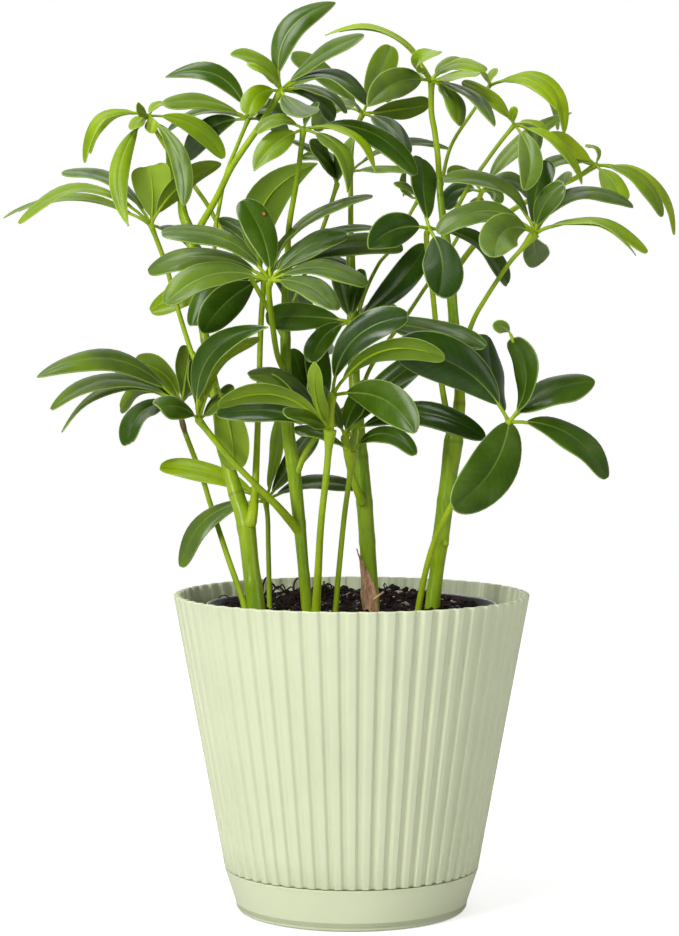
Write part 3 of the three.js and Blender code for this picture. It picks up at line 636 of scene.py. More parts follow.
# Each chip is across, up, half its length, half its width, and its turn from level.
chip_readings = [
    (20.8, 142.6, 2.8, 0.7, 0.05), (26.5, 142.2, 2.2, 0.4, -0.1), (24.9, 137.0, 1.6, 0.9, -0.6),
    (22.6, 137.6, 1.2, 0.5, 0.2), (-5.6, 137.8, 0.9, 0.8, 0.7), (-6.2, 140.4, 0.8, 0.4, 0.4),
    (45.0, 138.6, 0.7, 0.6, 0.0), (-1.5, 142.2, 1.6, 0.3, 0.5), (0.8, 141.2, 1.3, 0.35, 0.8),
    (19.0, 140.6, 0.7, 0.4, 0.3), (-31.0, 141.5, 1.5, 0.5, 0.2), (-37.5, 140.5, 1.2, 0.4, -0.3),
]
soil_tree = BVHTree.FromPolygons(soil_points, soil_faces)
chip_parts = Growing()
for across, up, half_length, half_width, turn in chip_readings:
    point, _ = seen_on(soil_tree, across, up)
    chip = ball_corners * np.array((half_length, half_width, half_width)) * mm
    chip = chip @ turn_about(1, turn) + np.array(point) + np.array((0, -half_width, half_width)) * mm
    chip_parts.add(chip, crumb_faces)
pale_wood = soil_bit_material("pale wood chip", (0.72, 0.58, 0.42, 1), (0.40, 0.26, 0.16, 1), 0.7)
chips = chip_parts.piece("soil_chips", [pale_wood])


def smooth_route(knots, steps):
    """A smooth route through the knots, with the same number of steps between each two."""
    knots = np.asarray(knots, dtype=float)
    padded = np.concatenate([[2 * knots[0] - knots[1]], knots, [2 * knots[-1] - knots[-2]]])
    route = []
    for n in range(len(knots) - 1):
        a, b, c, d = padded[n:n + 4]
        for t in np.arange(steps) / steps:
            bend = 2 * a - 5 * b + 4 * c - d
            twist = 3 * b - a - 3 * c + d
            route.append(0.5 * (2 * b + (c - a) * t + bend * t**2 + twist * t**3))
    route.append(knots[-1])
    return np.array(route)


def unit(vectors):
    return vectors / np.maximum(np.linalg.norm(vectors, axis=-1, keepdims=True), 1e-12)


def tube(route, radii, sides):
    """Points and faces of a round skin along a route, closed at both ends."""
    route = np.asarray(route)
    along = unit(np.gradient(route, axis=0))
    side = np.cross(along[0], (0.0, 1.0, 0.0))
    side = unit(side if np.linalg.norm(side) > 0.1 else np.cross(along[0], (1.0, 0.0, 0.0)))
    angles = np.arange(sides) * 2 * math.pi / sides
    points = []
    for centre, direction, radius in zip(route, along, radii):
        side = unit(side - np.dot(side, direction) * direction)
        other = np.cross(direction, side)
        ring = np.outer(np.cos(angles), side) + np.outer(np.sin(angles), other)
        points.append(centre + radius * ring)
    return np.concatenate(points), grid_faces(len(route), sides, closed=True, capped=True)


crown_stretch = 1.4


def place(reading):
    """The point in metres for a reading [across, up, back], with the crown stretched to its full depth."""
    across, up, back = reading[:3]
    depth = back * crown_stretch
    reach = 1 + depth / eye_distance
    seen = (eye_across + (across - eye_across) * reach, depth, eye_height + (up - eye_height) * reach)
    return np.array(seen) * mm


# The loose roots lie on the back half of the soil, each a curl of six knots that rises from it and returns.
root_count = 26
root_knots = 6
root_step = 2.2 * mm
root_curl = 1.8
root_sunk = 0.4 * mm
root_rise_least, root_rise_more = 1.5, 5
root_turn_least, root_turn_more = 0.1, 0.8
root_reach_least, root_reach_more = 0.45, 0.5
root_sides = 6
loose_root_radii, standing_root_radii = (0.34, 0.16), (0.55, 0.28)
root_parts = Growing()


def add_root(route, foot_radius, tip_radius):
    radii = np.linspace(foot_radius, tip_radius, len(route)) * mm
    root_parts.add(*tube(route, radii, root_sides))


for _ in range(root_count):
    angle = math.pi * (root_turn_least + root_turn_more * soil_random.random())
    radius = soil_radius * (root_reach_least + root_reach_more * soil_random.random())
    spot = np.array([radius * math.cos(angle), radius * math.sin(angle), 0])
    heading = soil_random.random() * 2 * math.pi
    rise = (root_rise_least + root_rise_more * soil_random.random()) * mm
    knots = []
    for n in range(root_knots):
        heading += (soil_random.random() - 0.5) * root_curl
        spot = spot + root_step * np.array([math.cos(heading), math.sin(heading), 0])
        lift = rise * math.sin(math.pi * n / (root_knots - 1)) - root_sunk
        knots.append([spot[0], spot[1], soil_height(spot[0], spot[1]) + lift])
    add_root(smooth_route(knots, 5), *loose_root_radii)
# These stand up against the far wall where the photograph shows them, as across, up and back readings.
standing_roots = [
    [(-40, 143, 30), (-39.8, 146, 30), (-38.4, 149.6, 31), (-36.2, 147.6, 32), (-35.6, 143.6, 33)],
    [(-39, 142, 28), (-36, 146.8, 29), (-33.4, 144.6, 29), (-31, 146.4, 30), (-29, 142.5, 31)],
    [(-36, 142.4, 30), (-33, 145.6, 31), (-30, 143.6, 31), (-27, 145.4, 31), (-25, 142, 31)],
    [(-26, 142.5, 30), (-25.8, 147, 31), (-24.2, 149.2, 31), (-22.6, 147.4, 32), (-23.4, 144.6, 32)],
    [(-19, 142.5, 31), (-16, 146.4, 31), (-13, 144.8, 31), (-9.8, 146.8, 32), (-8.2, 142.5, 33)],
    [(-15.5, 142, 28), (-12, 145.8, 29), (-9.5, 143.6, 29), (-7.5, 145, 30), (-5, 142, 30)],
    [(14, 142, 30), (16, 145.2, 31), (18.4, 144.6, 32), (19.4, 142, 32)],
]
for readings in standing_roots:
    add_root(smooth_route([place(r) for r in readings], 7), *standing_root_radii)
root_brown = soil_bit_material("root", (0.045, 0.028, 0.018, 1), (0.012, 0.008, 0.006, 1), 0.7)
roots = root_parts.piece("soil_roots", [root_brown])


# Stems. Four thick upright stems grow from the soil. Their bark is smooth and green, with fine rings and
# slight swellings where leaves are or were attached.
root_depth = 14
stem_sides = 20
stem_steps = 14
stem_end_share = 0.6
ring_strength = 0.55
bark_relief = (0.15, 0.2 * mm)
# Each reading is across, up, back and how wide the stem is there.
stem_readings = {
    "stem_a": [
        (-42.9, 134.6, -8, 8.4), (-45.3, 155, -7, 7.6), (-47.6, 174, -6, 8), (-52.5, 190, -4, 6.6),
        (-57.5, 209, -2, 5.6), (-61.5, 235, 0, 4.6), (-65.4, 256, 2, 4.2), (-69, 280, 4, 4.4),
        (-71.8, 302, 6, 5), (-75, 312, 10, 4.4), (-76, 319, 12, 3.4),
    ],
    "stem_b": [
        (-19.9, 134.6, 0, 5.2), (-21.7, 155, 0, 5), (-23.3, 173, 0, 5.6), (-26, 199, 0, 6.2),
        (-28.5, 217, 0, 5.6), (-29.5, 246, 0, 4.8), (-29.3, 274, 0, 4.2), (-28.3, 294, 0, 4),
    ],
    "stem_c": [
        (9.1, 134.6, 4, 7.4), (7.8, 155, 4, 7.2), (5.6, 186, 3, 7.2), (3.3, 211, 4, 6.6),
        (1.4, 236, 6, 5.2), (0.4, 262, 8, 4.8), (-0.5, 296, 10, 4),
    ],
    "stem_d": [
        (36.2, 134.6, 4, 7), (38.2, 152, 4, 6.4), (40, 167, 3, 7.4), (43.6, 195, 2, 7.6),
        (45.6, 210, 2, 8.4), (48.4, 232, 1, 4.8), (45.4, 268, 1, 4.6), (43.6, 290, 1, 4.6),
        (40.2, 315, 1, 3.2), (38.9, 329, 1, 2.8),
    ],
}
stem_ring_heights = {
    "stem_a": (148, 173, 188, 211, 234, 256, 281, 301),
    "stem_b": (150, 174, 200, 218, 242, 256, 264, 289),
    "stem_c": (166, 183, 204, 221, 244, 258, 284),
    "stem_d": (166, 184, 211, 228, 243, 264, 284, 304, 321),
}
ring_width = 0.5 * mm
swelling_width = 2.2 * mm
swelling_share = 0.07

stem_green = mottled_material(
    "green bark", (0.35, 0.48, 0.010, 1), (0.13, 0.26, 0.004, 1), (0.24, 0.36), bark_relief, 0.3,
    Cloud_Scale=150.0, Grain_Scale=900.0, Grain_Share=0.25, Stretch=0.16,
)
ring_color = (0.11, 0.13, 0.02, 1)
wiring = Wiring(stem_green.node_tree)
surface = stem_green.node_tree.nodes["Principled BSDF"].inputs
plain_bark = surface["Base Color"].links[0].from_socket
ring_here = wiring.node("Attribute", attribute_name="ring").outputs["Fac"]
wiring.give(surface, {"Base Color": mix_colors(wiring, ring_here, plain_bark, ring_color)})


def stem_route(readings):
    """The stem's middle in metres, with its radius as the fourth number."""
    return smooth_route([np.append(place(r), r[3] / 2 * mm) for r in readings], stem_steps)


def stem_tube(readings, ring_heights):
    """A stem's skin through its readings, with its rings' strength at each point."""
    foot = (readings[0][0], readings[0][1] - root_depth, readings[0][2], readings[0][3])
    route = stem_route((foot, *readings))
    centre = route[:, :3]
    radii = route[:, 3].copy()
    rings = np.zeros(len(route))
    for up in ring_heights:
        away = centre[:, 2] - up * mm
        radii *= 1 + swelling_share * np.exp(-((away / swelling_width) ** 2))
        rings = np.maximum(rings, np.exp(-((away / ring_width) ** 2)))
    radii[-1] *= stem_end_share
    points, faces = tube(centre, radii, stem_sides)
    return points, faces, np.repeat(rings, stem_sides)


for node, readings in stem_readings.items():
    points, faces, rings = stem_tube(readings, stem_ring_heights[node])
    stem = new_piece(f"{node}_bark", points, faces, [stem_green], values={"ring": rings * ring_strength})
    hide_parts(node)


# Dry sheath and bud. What is left of an old leaf's base wraps the front and left of the third stem's
# foot: thin, papery, tan and red-brown, with one long point that has come away. A small round green bud
# stands on the fourth stem.

# Each reading is a height, the turns from the front at which the sheath starts and ends, and how far it
# stands off.
sheath_readings = [
    (132, -2.3, 1.2, 0.5), (137, -2.2, 0.9, 0.5), (142, -2.1, 0.8, 0.7), (146, -2.0, 0.55, 0.5),
    (150, -1.9, 0.1, 0.4), (154, -1.75, -0.35, 0.5), (158, -1.65, -0.8, 0.8), (162, -1.6, -1.3, 1.7),
]
sheath_columns = 16
sheath_thickness = 0.35
sheath_crease = 0.55
crease_turns, crease_heights = 2.6, 0.11
sheath_ragged = 1.2
ragged_turns, ragged_heights = 3, 0.4
ragged_above = 140
bud_shape = (0.8, 0.8, 1.0)
bud_reading = (42.4, 165, -1)
bud_radius = 2.3 * mm

stem_c_route = stem_route(stem_readings["stem_c"])
sheath_rows = smooth_route(sheath_readings, 4)
sheath_points = []
for height, left_turn, right_turn, stand_off in sheath_rows:
    middle_x, middle_y, radius = (
        np.interp(height * mm, stem_c_route[:, 2], stem_c_route[:, k]) for k in (0, 1, 3)
    )
    turns = np.linspace(left_turn, right_turn, sheath_columns)
    for turns_here, inner in ((turns, 0.0), (turns[::-1], sheath_thickness)):
        for turn in turns_here:
            creases = Vector((turn * crease_turns, height * crease_heights, 3))
            crease = sheath_crease * noise.noise(creases)
            reach = radius + (stand_off + crease - inner) * mm
            ragged = 0
            if height > ragged_above:
                edge = Vector((turn * ragged_turns, 7, height * ragged_heights))
                ragged = sheath_ragged * noise.noise(edge)
            x = middle_x + reach * math.sin(turn)
            y = middle_y - reach * math.cos(turn)
            sheath_points.append((x, y, (height + ragged) * mm))
sheath_faces = grid_faces(len(sheath_rows), 2 * sheath_columns, closed=True, capped=True)
dry_paper = soil_bit_material(
    "dry sheath", (0.90, 0.62, 0.34, 1), (0.15, 0.03, 0.012, 1), 0.8, cloud=520.0, stretch=0.22
)
sheath = new_piece("stem_c_sheath", sheath_points, sheath_faces, [dry_paper])
splinter_readings = [(9.8, 139.6, -2.6), (12, 141.4, -3.2), (14.6, 143.2, -3.4)]
splinter_route = smooth_route([place(r) for r in splinter_readings], 5)
splinter_radii = np.linspace(0.75, 0.3, len(splinter_route)) * mm
splinter_points, splinter_faces = tube(splinter_route, splinter_radii, 8)
splinter = new_piece("stem_c_splinter", splinter_points, splinter_faces, [dry_paper])

bud_corners = ball_corners * np.array(bud_shape)
bud_centre = place(bud_reading)
bud = new_piece("stem_d_bud", bud_corners * bud_radius + bud_centre, crumb_faces, [stem_green])
bud_rounding = bud.modifiers.new("rounding", "SUBSURF")
bud_rounding.levels = 2
bud_rounding.render_levels = 2


# Leaves. Each is a thin green stalk whose end spreads into a ring of waxy leaflets. A leaflet is thick
# and smooth, dark and glossy above and lighter and dull below, with a pale midrib and a pale edge. All
# were grown in place.
# The blade's shape, and how far it varies from one leaflet to the next.
blade_start = 0.13
widest_share = 0.42
blade_end = 0.996
blade_rows = 22
blade_columns = np.array([-1, -0.94, -0.78, -0.52, -0.26, -0.08, 0, 0.08, 0.26, 0.52, 0.78, 0.94, 1])
blade_thickness = 0.5 * mm
base_power = 0.72
round_tip = 0.42
pointed = 0.9
tone_spread = 0.10
twist_spread = 0.5
fold_least, fold_more = 0.26, 0.24
recurve_least, recurve_more = 0.28, 0.22
wave_share = 0.08
wave_turns = 9
edge_thinning = 0.45
tip_edge = 0.9
least_half_width = 0.45 * mm
# The raised midrib.
midrib_reach = 0.9
midrib_steps = 20
midrib_radii = (0.95, 0.62, 0.62, 0.42, 0.14)
midrib_sides = 8
midrib_sunk, midrib_sunk_share = 0.30 * mm, 0.2
midrib_least, midrib_most, midrib_width = 0.55, 1.25, 22 * mm
# The markings: where veins, rib and rim lie, how much paler they are, and the wax and relief.
leaf_cloud_scale, leaf_grain_scale = 70, 900
vein_turns = 75.0
vein_sweep = 16.0
vein_sharpness = 6.0
vein_paleness = 0.02
rib_ends = 0.95
pale_share = 0.7
rib_fades, rib_full = 0.55 * mm, 0.12 * mm
rib_paleness, rib_paleness_below = 0.5, 0.6
rim_fades, rim_full = 0.6 * mm, 0.2 * mm
rim_paleness = 0.7
pale_green, pale_green_below = (0.40, 0.54, 0.12, 1), (0.36, 0.50, 0.08, 1)
tone_clouds, rough_clouds = 0.5, 0.22
rough_above, rough_more_below = 0.36, 0.24
gloss_most, gloss_lost = 0.82, 0.7
vein_relief, grain_relief, rib_relief = 0.03, 0.2, 0.8
leaf_random = np.random.default_rng(23)


def leaf_markings():
    """Colour, roughness, gloss and relief of a leaflet, from what its points carry."""
    usual = {"Tone": 0.3, "Rib": 1.0, "Rim": 1.0, "Under": 0.0, "Along": 0.5, "Across": 0.5}
    outputs = ("Color", "Roughness", "Gloss", "Height")
    group, wiring, given, out = value_group("leaf markings", usual, outputs)
    math_node = wiring.math

    def times(first, second):
        return wiring.math("MULTIPLY", first, second)

    def ramp(value, stops):
        node = wiring.node("ValToRGB", {"Fac": value})
        while len(node.color_ramp.elements) < len(stops):
            node.color_ramp.elements.new(0.5)
        for element, (position, color) in zip(node.color_ramp.elements, stops):
            element.position = position
            element.color = (*color, 1)
        return node.outputs["Color"]

    def mix(factor, first, second):
        return mix_colors(wiring, factor, first, second)

    def fade(value, none_at, full_at):
        ends = {"Value": value, "From Min": none_at, "From Max": full_at}
        return wiring.node("MapRange", ends, interpolation_type="SMOOTHSTEP").outputs["Result"]

    where = wiring.node("TexCoord").outputs["Object"]
    grain = noise_value(wiring, where, leaf_grain_scale, 2)
    clouding = math_node("SUBTRACT", noise_value(wiring, where, leaf_cloud_scale, 4), 0.5)
    cloud_shift = times(clouding, tone_clouds)
    tone = math_node("ADD", given["Tone"], cloud_shift, clamp=True)
    # Both ramps run from the darkest leaflets to the youngest and brightest. The upper side's middle tones
    # and the undersides are a little greyer than their green: a painted sheen, which stands in for the soft
    # grey shine of gloss on older leaves and on undersides that face the light.
    top = ramp(tone, [
        (0.0, (0.018, 0.052, 0.001)),
        (0.16, (0.042, 0.094, 0.002)),
        (0.28, (0.074, 0.128, 0.019)),
        (0.42, (0.112, 0.186, 0.018)),
        (0.6, (0.165, 0.268, 0.004)),
        (0.8, (0.265, 0.390, 0.005)),
        (1.0, (0.360, 0.490, 0.009)),
    ])
    below = ramp(tone, [
        (0.0, (0.095, 0.172, 0.010)),
        (0.3, (0.150, 0.240, 0.024)),
        (0.6, (0.235, 0.345, 0.026)),
        (1.0, (0.370, 0.500, 0.025)),
    ])
    spread = math_node("ABSOLUTE", given["Across"])
    vein_steps = times(given["Along"], vein_turns)
    phase = math_node("SUBTRACT", vein_steps, times(spread, vein_sweep))
    veins = math_node("MULTIPLY_ADD", math_node("SINE", phase), 0.5, 0.5)
    veins = math_node("POWER", veins, vein_sharpness)
    rib_reach = math_node("SUBTRACT", rib_ends, given["Along"], clamp=True)
    rib_line = times(fade(given["Rib"], rib_fades, rib_full), rib_reach)
    rim_line = fade(given["Rim"], rim_fades, rim_full)
    pale = mix(pale_share, top, pale_green)
    veined = mix(times(veins, vein_paleness), top, pale)
    ribbed = mix(times(rib_line, rib_paleness), veined, pale)
    under_ribbed = mix(times(rib_line, rib_paleness_below), below, pale_green_below)
    faced = mix(given["Under"], ribbed, under_ribbed)
    color = mix(times(rim_line, rim_paleness), faced, pale)
    shine = math_node("SUBTRACT", 1.0, given["Under"], clamp=True)
    waxy = math_node("SUBTRACT", gloss_most, times(given["Tone"], gloss_lost))
    dull = math_node("MULTIPLY_ADD", given["Under"], rough_more_below, rough_above)
    cloudy_rough = times(clouding, rough_clouds)
    grained = times(grain, grain_relief)
    relief = math_node("ADD", times(veins, vein_relief), grained)
    wiring.give(out, {
        "Color": color,
        "Roughness": math_node("ADD", dull, cloudy_rough, clamp=True),
        "Gloss": times(shine, waxy),
        "Height": math_node("SUBTRACT", relief, times(rib_line, rib_relief)),
    })
    return group


leaf_skin, wiring, surface = new_material("waxy leaf")
leaf_values = ("tone", "rib", "rim", "under", "along", "across")
carried = {}
for value in leaf_values:
    carried[value.capitalize()] = wiring.node("Attribute", attribute_name=value).outputs["Fac"]
marks = wiring.node("Group", carried, node_tree=leaf_markings()).outputs
wiring.give(surface, {
    "Base Color": marks["Color"],
    "Roughness": marks["Roughness"],
    "Specular IOR Level": 0.06,
    "Coat Weight": marks["Gloss"],
    "Coat Roughness": 0.24,
    "Coat IOR": 1.36,
})
add_bump(wiring, surface, marks["Height"], 0.35, 0.35 * mm)

stalk_skin = mottled_material(
    "leaf stalk", (0.38, 0.51, 0.016, 1), (0.19, 0.31, 0.008, 1), (0.28, 0.42), bark_relief, 0.2,
    Cloud_Scale=120.0, Grain_Scale=1200.0, Grain_Share=0.2, Stretch=0.3,
)


def add_leaflet(growing, hub, reading, blade_width, tone):
    """One leaflet, from the hub to its tip: a folded and slightly waved blade on a short stalk of its own.

    A reading is the tip's across, up and back, the width that shows (below 0 where the underside shows)
    and the bow. Where they aren't the usual ones, the leaflet's own tone, how blunt its tip is, where its
    blade starts and how full it is there follow.
    """
    across, up, back, seen, bow = reading[:5]
    tone = reading[5] if len(reading) > 5 else tone
    tip_power = reading[6] if len(reading) > 6 else round_tip
    blade_from = reading[7] if len(reading) > 7 else blade_start
    foot_power = reading[8] if len(reading) > 8 else base_power
    tone += (leaf_random.random() - 0.5) * tone_spread
    chord = np.array([across - hub[0], up - hub[1]])
    leftward = -1 if chord[0] < 0 else 1
    upward = np.array([-chord[1], chord[0]]) / np.linalg.norm(chord) * leftward
    control = (
        (hub[0] + across) / 2 + 2 * bow * upward[0],
        (hub[1] + up) / 2 + 2 * bow * upward[1],
        (hub[2] + back) / 2,
    )
    start, pull, tip = place(hub), place(control), place((across, up, back))

    # The midrib is a curve from the hub to the tip that the bow lifts, or lowers where it is below 0.
    def midrib(t):
        t = np.asarray(t)[:, None]
        return (1 - t) ** 2 * start + 2 * t * (1 - t) * pull + t**2 * tip

    length = np.linalg.norm(np.diff(midrib(np.linspace(0, 1, 20)), axis=0), axis=1).sum()
    width = max(abs(seen) * mm, min(blade_width * mm, widest_share * length))
    facing = min(max(seen * mm / width, -1), 1)
    lying = math.sqrt(1 - facing * facing) * leftward

    # Stations along it, closer together near both ends, and the way the blade faces at each.
    share = (1 - np.cos(math.pi * np.linspace(0, 1, blade_rows))) / 2 * blade_end
    stations = blade_from + share * (1 - blade_from)
    centre = midrib(stations)
    along = unit(np.gradient(centre, axis=0))
    level = unit(np.cross((0.0, 1.0, 0.0), along))
    viewer = unit(np.cross(level, along))
    upper = unit(facing * viewer - lying * level)
    side = unit(np.cross(upper, along))
    twist = (leaf_random.random() - 0.5) * twist_spread * share
    turned_upper = upper * np.cos(twist)[:, None] + side * np.sin(twist)[:, None]
    turned_side = side * np.cos(twist)[:, None] - upper * np.sin(twist)[:, None]

    # Half the blade's width at each station, and how it folds up, curves back and waves.
    peak = foot_power / (foot_power + tip_power)
    fullest = peak**foot_power * (1 - peak) ** tip_power
    half = width / 2 * share**foot_power * (1 - share) ** tip_power / fullest
    half = np.maximum(half, least_half_width)
    fold = fold_least + fold_more * leaf_random.random()
    recurve = recurve_least + recurve_more * leaf_random.random()
    wave_phase = leaf_random.random() * 2 * math.pi
    wave = wave_share * np.sin(share * wave_turns + wave_phase)

    columns = np.abs(blade_columns)
    lift = fold * columns[None, :] - recurve * columns[None, :] ** 2
    lift = (lift + wave[:, None] * columns[None, :] ** 2) * half[:, None]
    sideways = half[:, None, None] * blade_columns[None, :, None]
    spot = centre[:, None, :] + turned_side[:, None, :] * sideways
    spot = spot + turned_upper[:, None, :] * lift[:, :, None]
    thickness = blade_thickness * (1 - edge_thinning * columns**2)
    drop = turned_upper[:, None, :] * thickness[None, :, None] / 2
    top_points = (spot + drop).reshape(-1, 3)
    low_points = (spot - drop).reshape(-1, 3)

    # Faces of the upper and the lower skin, and of the edge that joins them.
    rows = blade_rows
    count = len(blade_columns)
    faces = grid_faces(rows, count, flip=True) + grid_faces(rows, count, first=rows * count)
    border = list(range(count))
    border += [r * count + count - 1 for r in range(1, rows)]
    border += [(rows - 1) * count + c for c in range(count - 2, -1, -1)]
    border += [r * count for r in range(rows - 2, 0, -1)]
    for n, corner in enumerate(border):
        following = border[(n + 1) % len(border)]
        faces.append((corner, following, rows * count + following, rows * count + corner))
    # How far each point is from the midrib and from the edge, which the markings read.
    rib = (half[:, None] * columns[None, :]).reshape(-1)
    rim = (half[:, None] * (1 - columns[None, :])).reshape(-1)
    from_tip = ((1 - share) * length * tip_edge)[:, None] * np.ones(count)[None, :]
    rim = np.minimum(rim, from_tip.reshape(-1))
    growing.add(
        np.concatenate([top_points, low_points]), faces, tone=tone,
        rib=np.tile(rib, 2),
        rim=np.tile(rim, 2),
        under=np.repeat([0.0, 1.0], rows * count),
        along=np.tile(np.repeat(share, count), 2),
        across=np.tile(np.tile(blade_columns, rows), 2),
    )

    # Its stalk runs on below the blade as the raised midrib.
    reach = np.linspace(0, midrib_reach, midrib_steps)
    route = midrib(reach)
    below = np.stack([np.interp(reach, stations, turned_upper[:, k]) for k in range(3)], 1)
    sunk = np.clip((reach - blade_from * 0.7) / (blade_from * 0.6), 0, 1)
    rib_stations = [0, 0.04, max(blade_from, 0.05), 0.4, midrib_reach]
    radii = np.interp(reach, rib_stations, midrib_radii) * mm
    radii *= min(midrib_most, midrib_least + width / midrib_width)
    route = route - below * (sunk * (midrib_sunk + radii * midrib_sunk_share))[:, None]
    growing.add(*tube(route, radii, midrib_sides), 1, tone=tone)


first_steps, stalk_steps = 60, 10
stalk_sides = 14
usual_flare = 0.3
flare_length = 3 * mm
wide_flare_length = 6 * mm
joint_swelling = 0.15
joint_length = 4 * mm
joint_rounding = 1.4


def add_stalk(growing, stalk, stalk_width, rooted):
    """A leaf's stalk, a little swollen where it joins the stem and flared under the hub.

    Its widths are at the foot and at the end, and the flare's share where it isn't the usual one.
    """
    readings = list(stalk)
    if rooted:
        readings.insert(0, (stalk[0][0], stalk[0][1] - root_depth, stalk[0][2]))
    last = len(readings) - 1
    knots = []
    for n, reading in enumerate(readings):
        share = min(1, 2 * n / last)
        radius = (stalk_width[0] + (stalk_width[1] - stalk_width[0]) * share) / 2
        knots.append(np.append(place(reading), radius * mm))
    fine_start = smooth_route(knots, first_steps)[:first_steps]
    route = np.concatenate([fine_start, smooth_route(knots, stalk_steps)[stalk_steps:]])
    walked = np.append(0, np.cumsum(np.linalg.norm(np.diff(route[:, :3], axis=0), axis=1)))
    from_hub = walked[-1] - walked
    flare = stalk_width[2] if len(stalk_width) > 2 else usual_flare
    flare_reach = wide_flare_length if flare > 0.5 else flare_length
    swelling = 1 + flare * np.exp(-((from_hub / flare_reach) ** 2))
    if not rooted:
        swelling += joint_swelling * np.exp(-((walked / joint_length) ** 2))
        from_end = np.clip(1 - walked / (joint_rounding * route[0, 3]), 0, 0.99)
        swelling *= np.sqrt(1 - from_end**2)
    growing.add(*tube(route[:, :3], route[:, 3] * swelling, stalk_sides), 1)


hub_rows, hub_columns = 9, 14
hub_share = 0.62
rooted_below = 144


def add_hub(growing, hub, radius):
    """The knob at the end of the stalk that the leaflets stand on."""
    points = []
    for r in range(hub_rows):
        tilt = math.pi * (0.04 + 0.92 * r / (hub_rows - 1))
        for c in range(hub_columns):
            turn = 2 * math.pi * c / hub_columns
            flat = math.sin(tilt)
            points.append((flat * math.cos(turn), flat * math.sin(turn), math.cos(tilt)))
    faces = grid_faces(hub_rows, hub_columns, closed=True, capped=True)
    growing.add(np.array(points) * radius + place(hub), faces, 1)


def grow_leaf(node, tone, *entries, slot="leaf"):
    """One leaf of one or more grown-together entries: (blade width, stalk widths, stalk, leaflets)."""
    growing = Growing(leaf_values)
    for blade_width, stalk_width, stalk, leaflets in entries:
        hub = stalk[-1]
        rooted = node.startswith("base") and stalk[0][1] < rooted_below
        add_stalk(growing, stalk, stalk_width, rooted)
        add_hub(growing, hub, stalk_width[1] * hub_share * mm)
        for reading in leaflets:
            add_leaflet(growing, hub, reading, blade_width, tone)
    leaf = growing.piece(f"{node}_foliage", [leaf_skin, stalk_skin])
    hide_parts(node)
    return np.concatenate(growing.points), growing.faces


# Leaves of the first stem: a dark one low down, and grey-green ones above. Each joins the stem by the
# slightly swollen end of its stalk.
grow_leaf("leaf_a1", 0.15, (13, (6.4, 2.6), [
    (-46.4, 171.5, -7.6), (-44.4, 179.5, -7.2), (-43.2, 190.7, -4), (-41.6, 230, 2), (-40.6, 262, 8),
    (-39, 284, 14),
], [
    (-67, 259.5, -13, 15.5, 3, 0.05, 0.6), (-71, 262.5, -8, 12, 8, 0.12), (-90, 269, 18, 12, 4, 0.7),
    (9.5, 320, 0, 5, 9, 0.3), (10.5, 306, 2, 5, 7.5, 0.25), (1, 289, 36, 5, 8),
    (-61, 309, 32, 12, 4, 0.2), (-22, 262, 52, 12, 6), (-15, 335, 2, -17.5, 14, 0.2, pointed),
]))
grow_leaf("leaf_a2", 0.45, (13, (2.4, 2.2), [
    (-62, 234, 1), (-69, 246, 7), (-72, 252, 9), (-78.5, 273, 10), (-83, 290, 8), (-89.5, 307.5, 3),
], [
    (-148.5, 308, -12, 4.5, 16, 0.6), (-155.5, 310.5, 8, 4, 10, 0.55, 0.7), (-129, 331, 22, 5.5, 8, 0.36),
    (-90, 334, 14, -18, 1, 0.5, 0.22), (-58, 334.5, 17, -9.5, 5, 0.55, 0.6), (-66, 291, 44, 5, 3, 0.35),
]))
grow_leaf("leaf_a3", 0.3, (11, (2, 1.8), [
    (-65.4, 257, 3), (-62.5, 280, 9), (-60.5, 307, 3), (-59.5, 313, 2), (-56, 330, 7), (-50, 345, 11),
    (-46, 354.5, 12),
], [
    (-83, 373, 14, 10, 11, 0.15, 0.8), (-84, 361, 2, 6.5, 4.5, 0.45), (-82, 349, 36, 6, 6, 0.25),
    (-73.5, 336, 42, 11.5, 6, 0.15, 0.6), (-38, 361, -2, 4, 1, 0.45), (-44, 366, 18, 5, 1, 0.5),
    (-30, 352, 44, 10, 6), (-30, 345, 50, 10, 4),
]))
grow_leaf("leaf_a4", 0.3, (13, (3.4, 2.8), [
    (-71.6, 300, 5), (-67, 308, 2), (-60, 320, -3), (-53, 334, -7), (-40, 353, -10), (-31.5, 367, -10),
], [
    (-7, 406, 4, 12, 11, 0.25, 0.7), (-54, 383, -14, 7, 5, 0.5, 0.6), (-46, 378, -22, 3, 2, 0.7),
    (5.7, 391.5, -24, 6.5, 3, 0.25, 0.6), (7, 360.5, -26, 6, 10.5, 0.06), (-7.5, 354.8, 14, 7, 4, 0.08),
    (-46, 356.5, -20, 10, 4.5, 0.62), (-17.5, 356.5, -44, 10.5, -1.5, 0.32),
    (-2.2, 357, -10, 5.5, 6, 0.35), (-8, 376, 12, 5, 1, 0.5),
]))


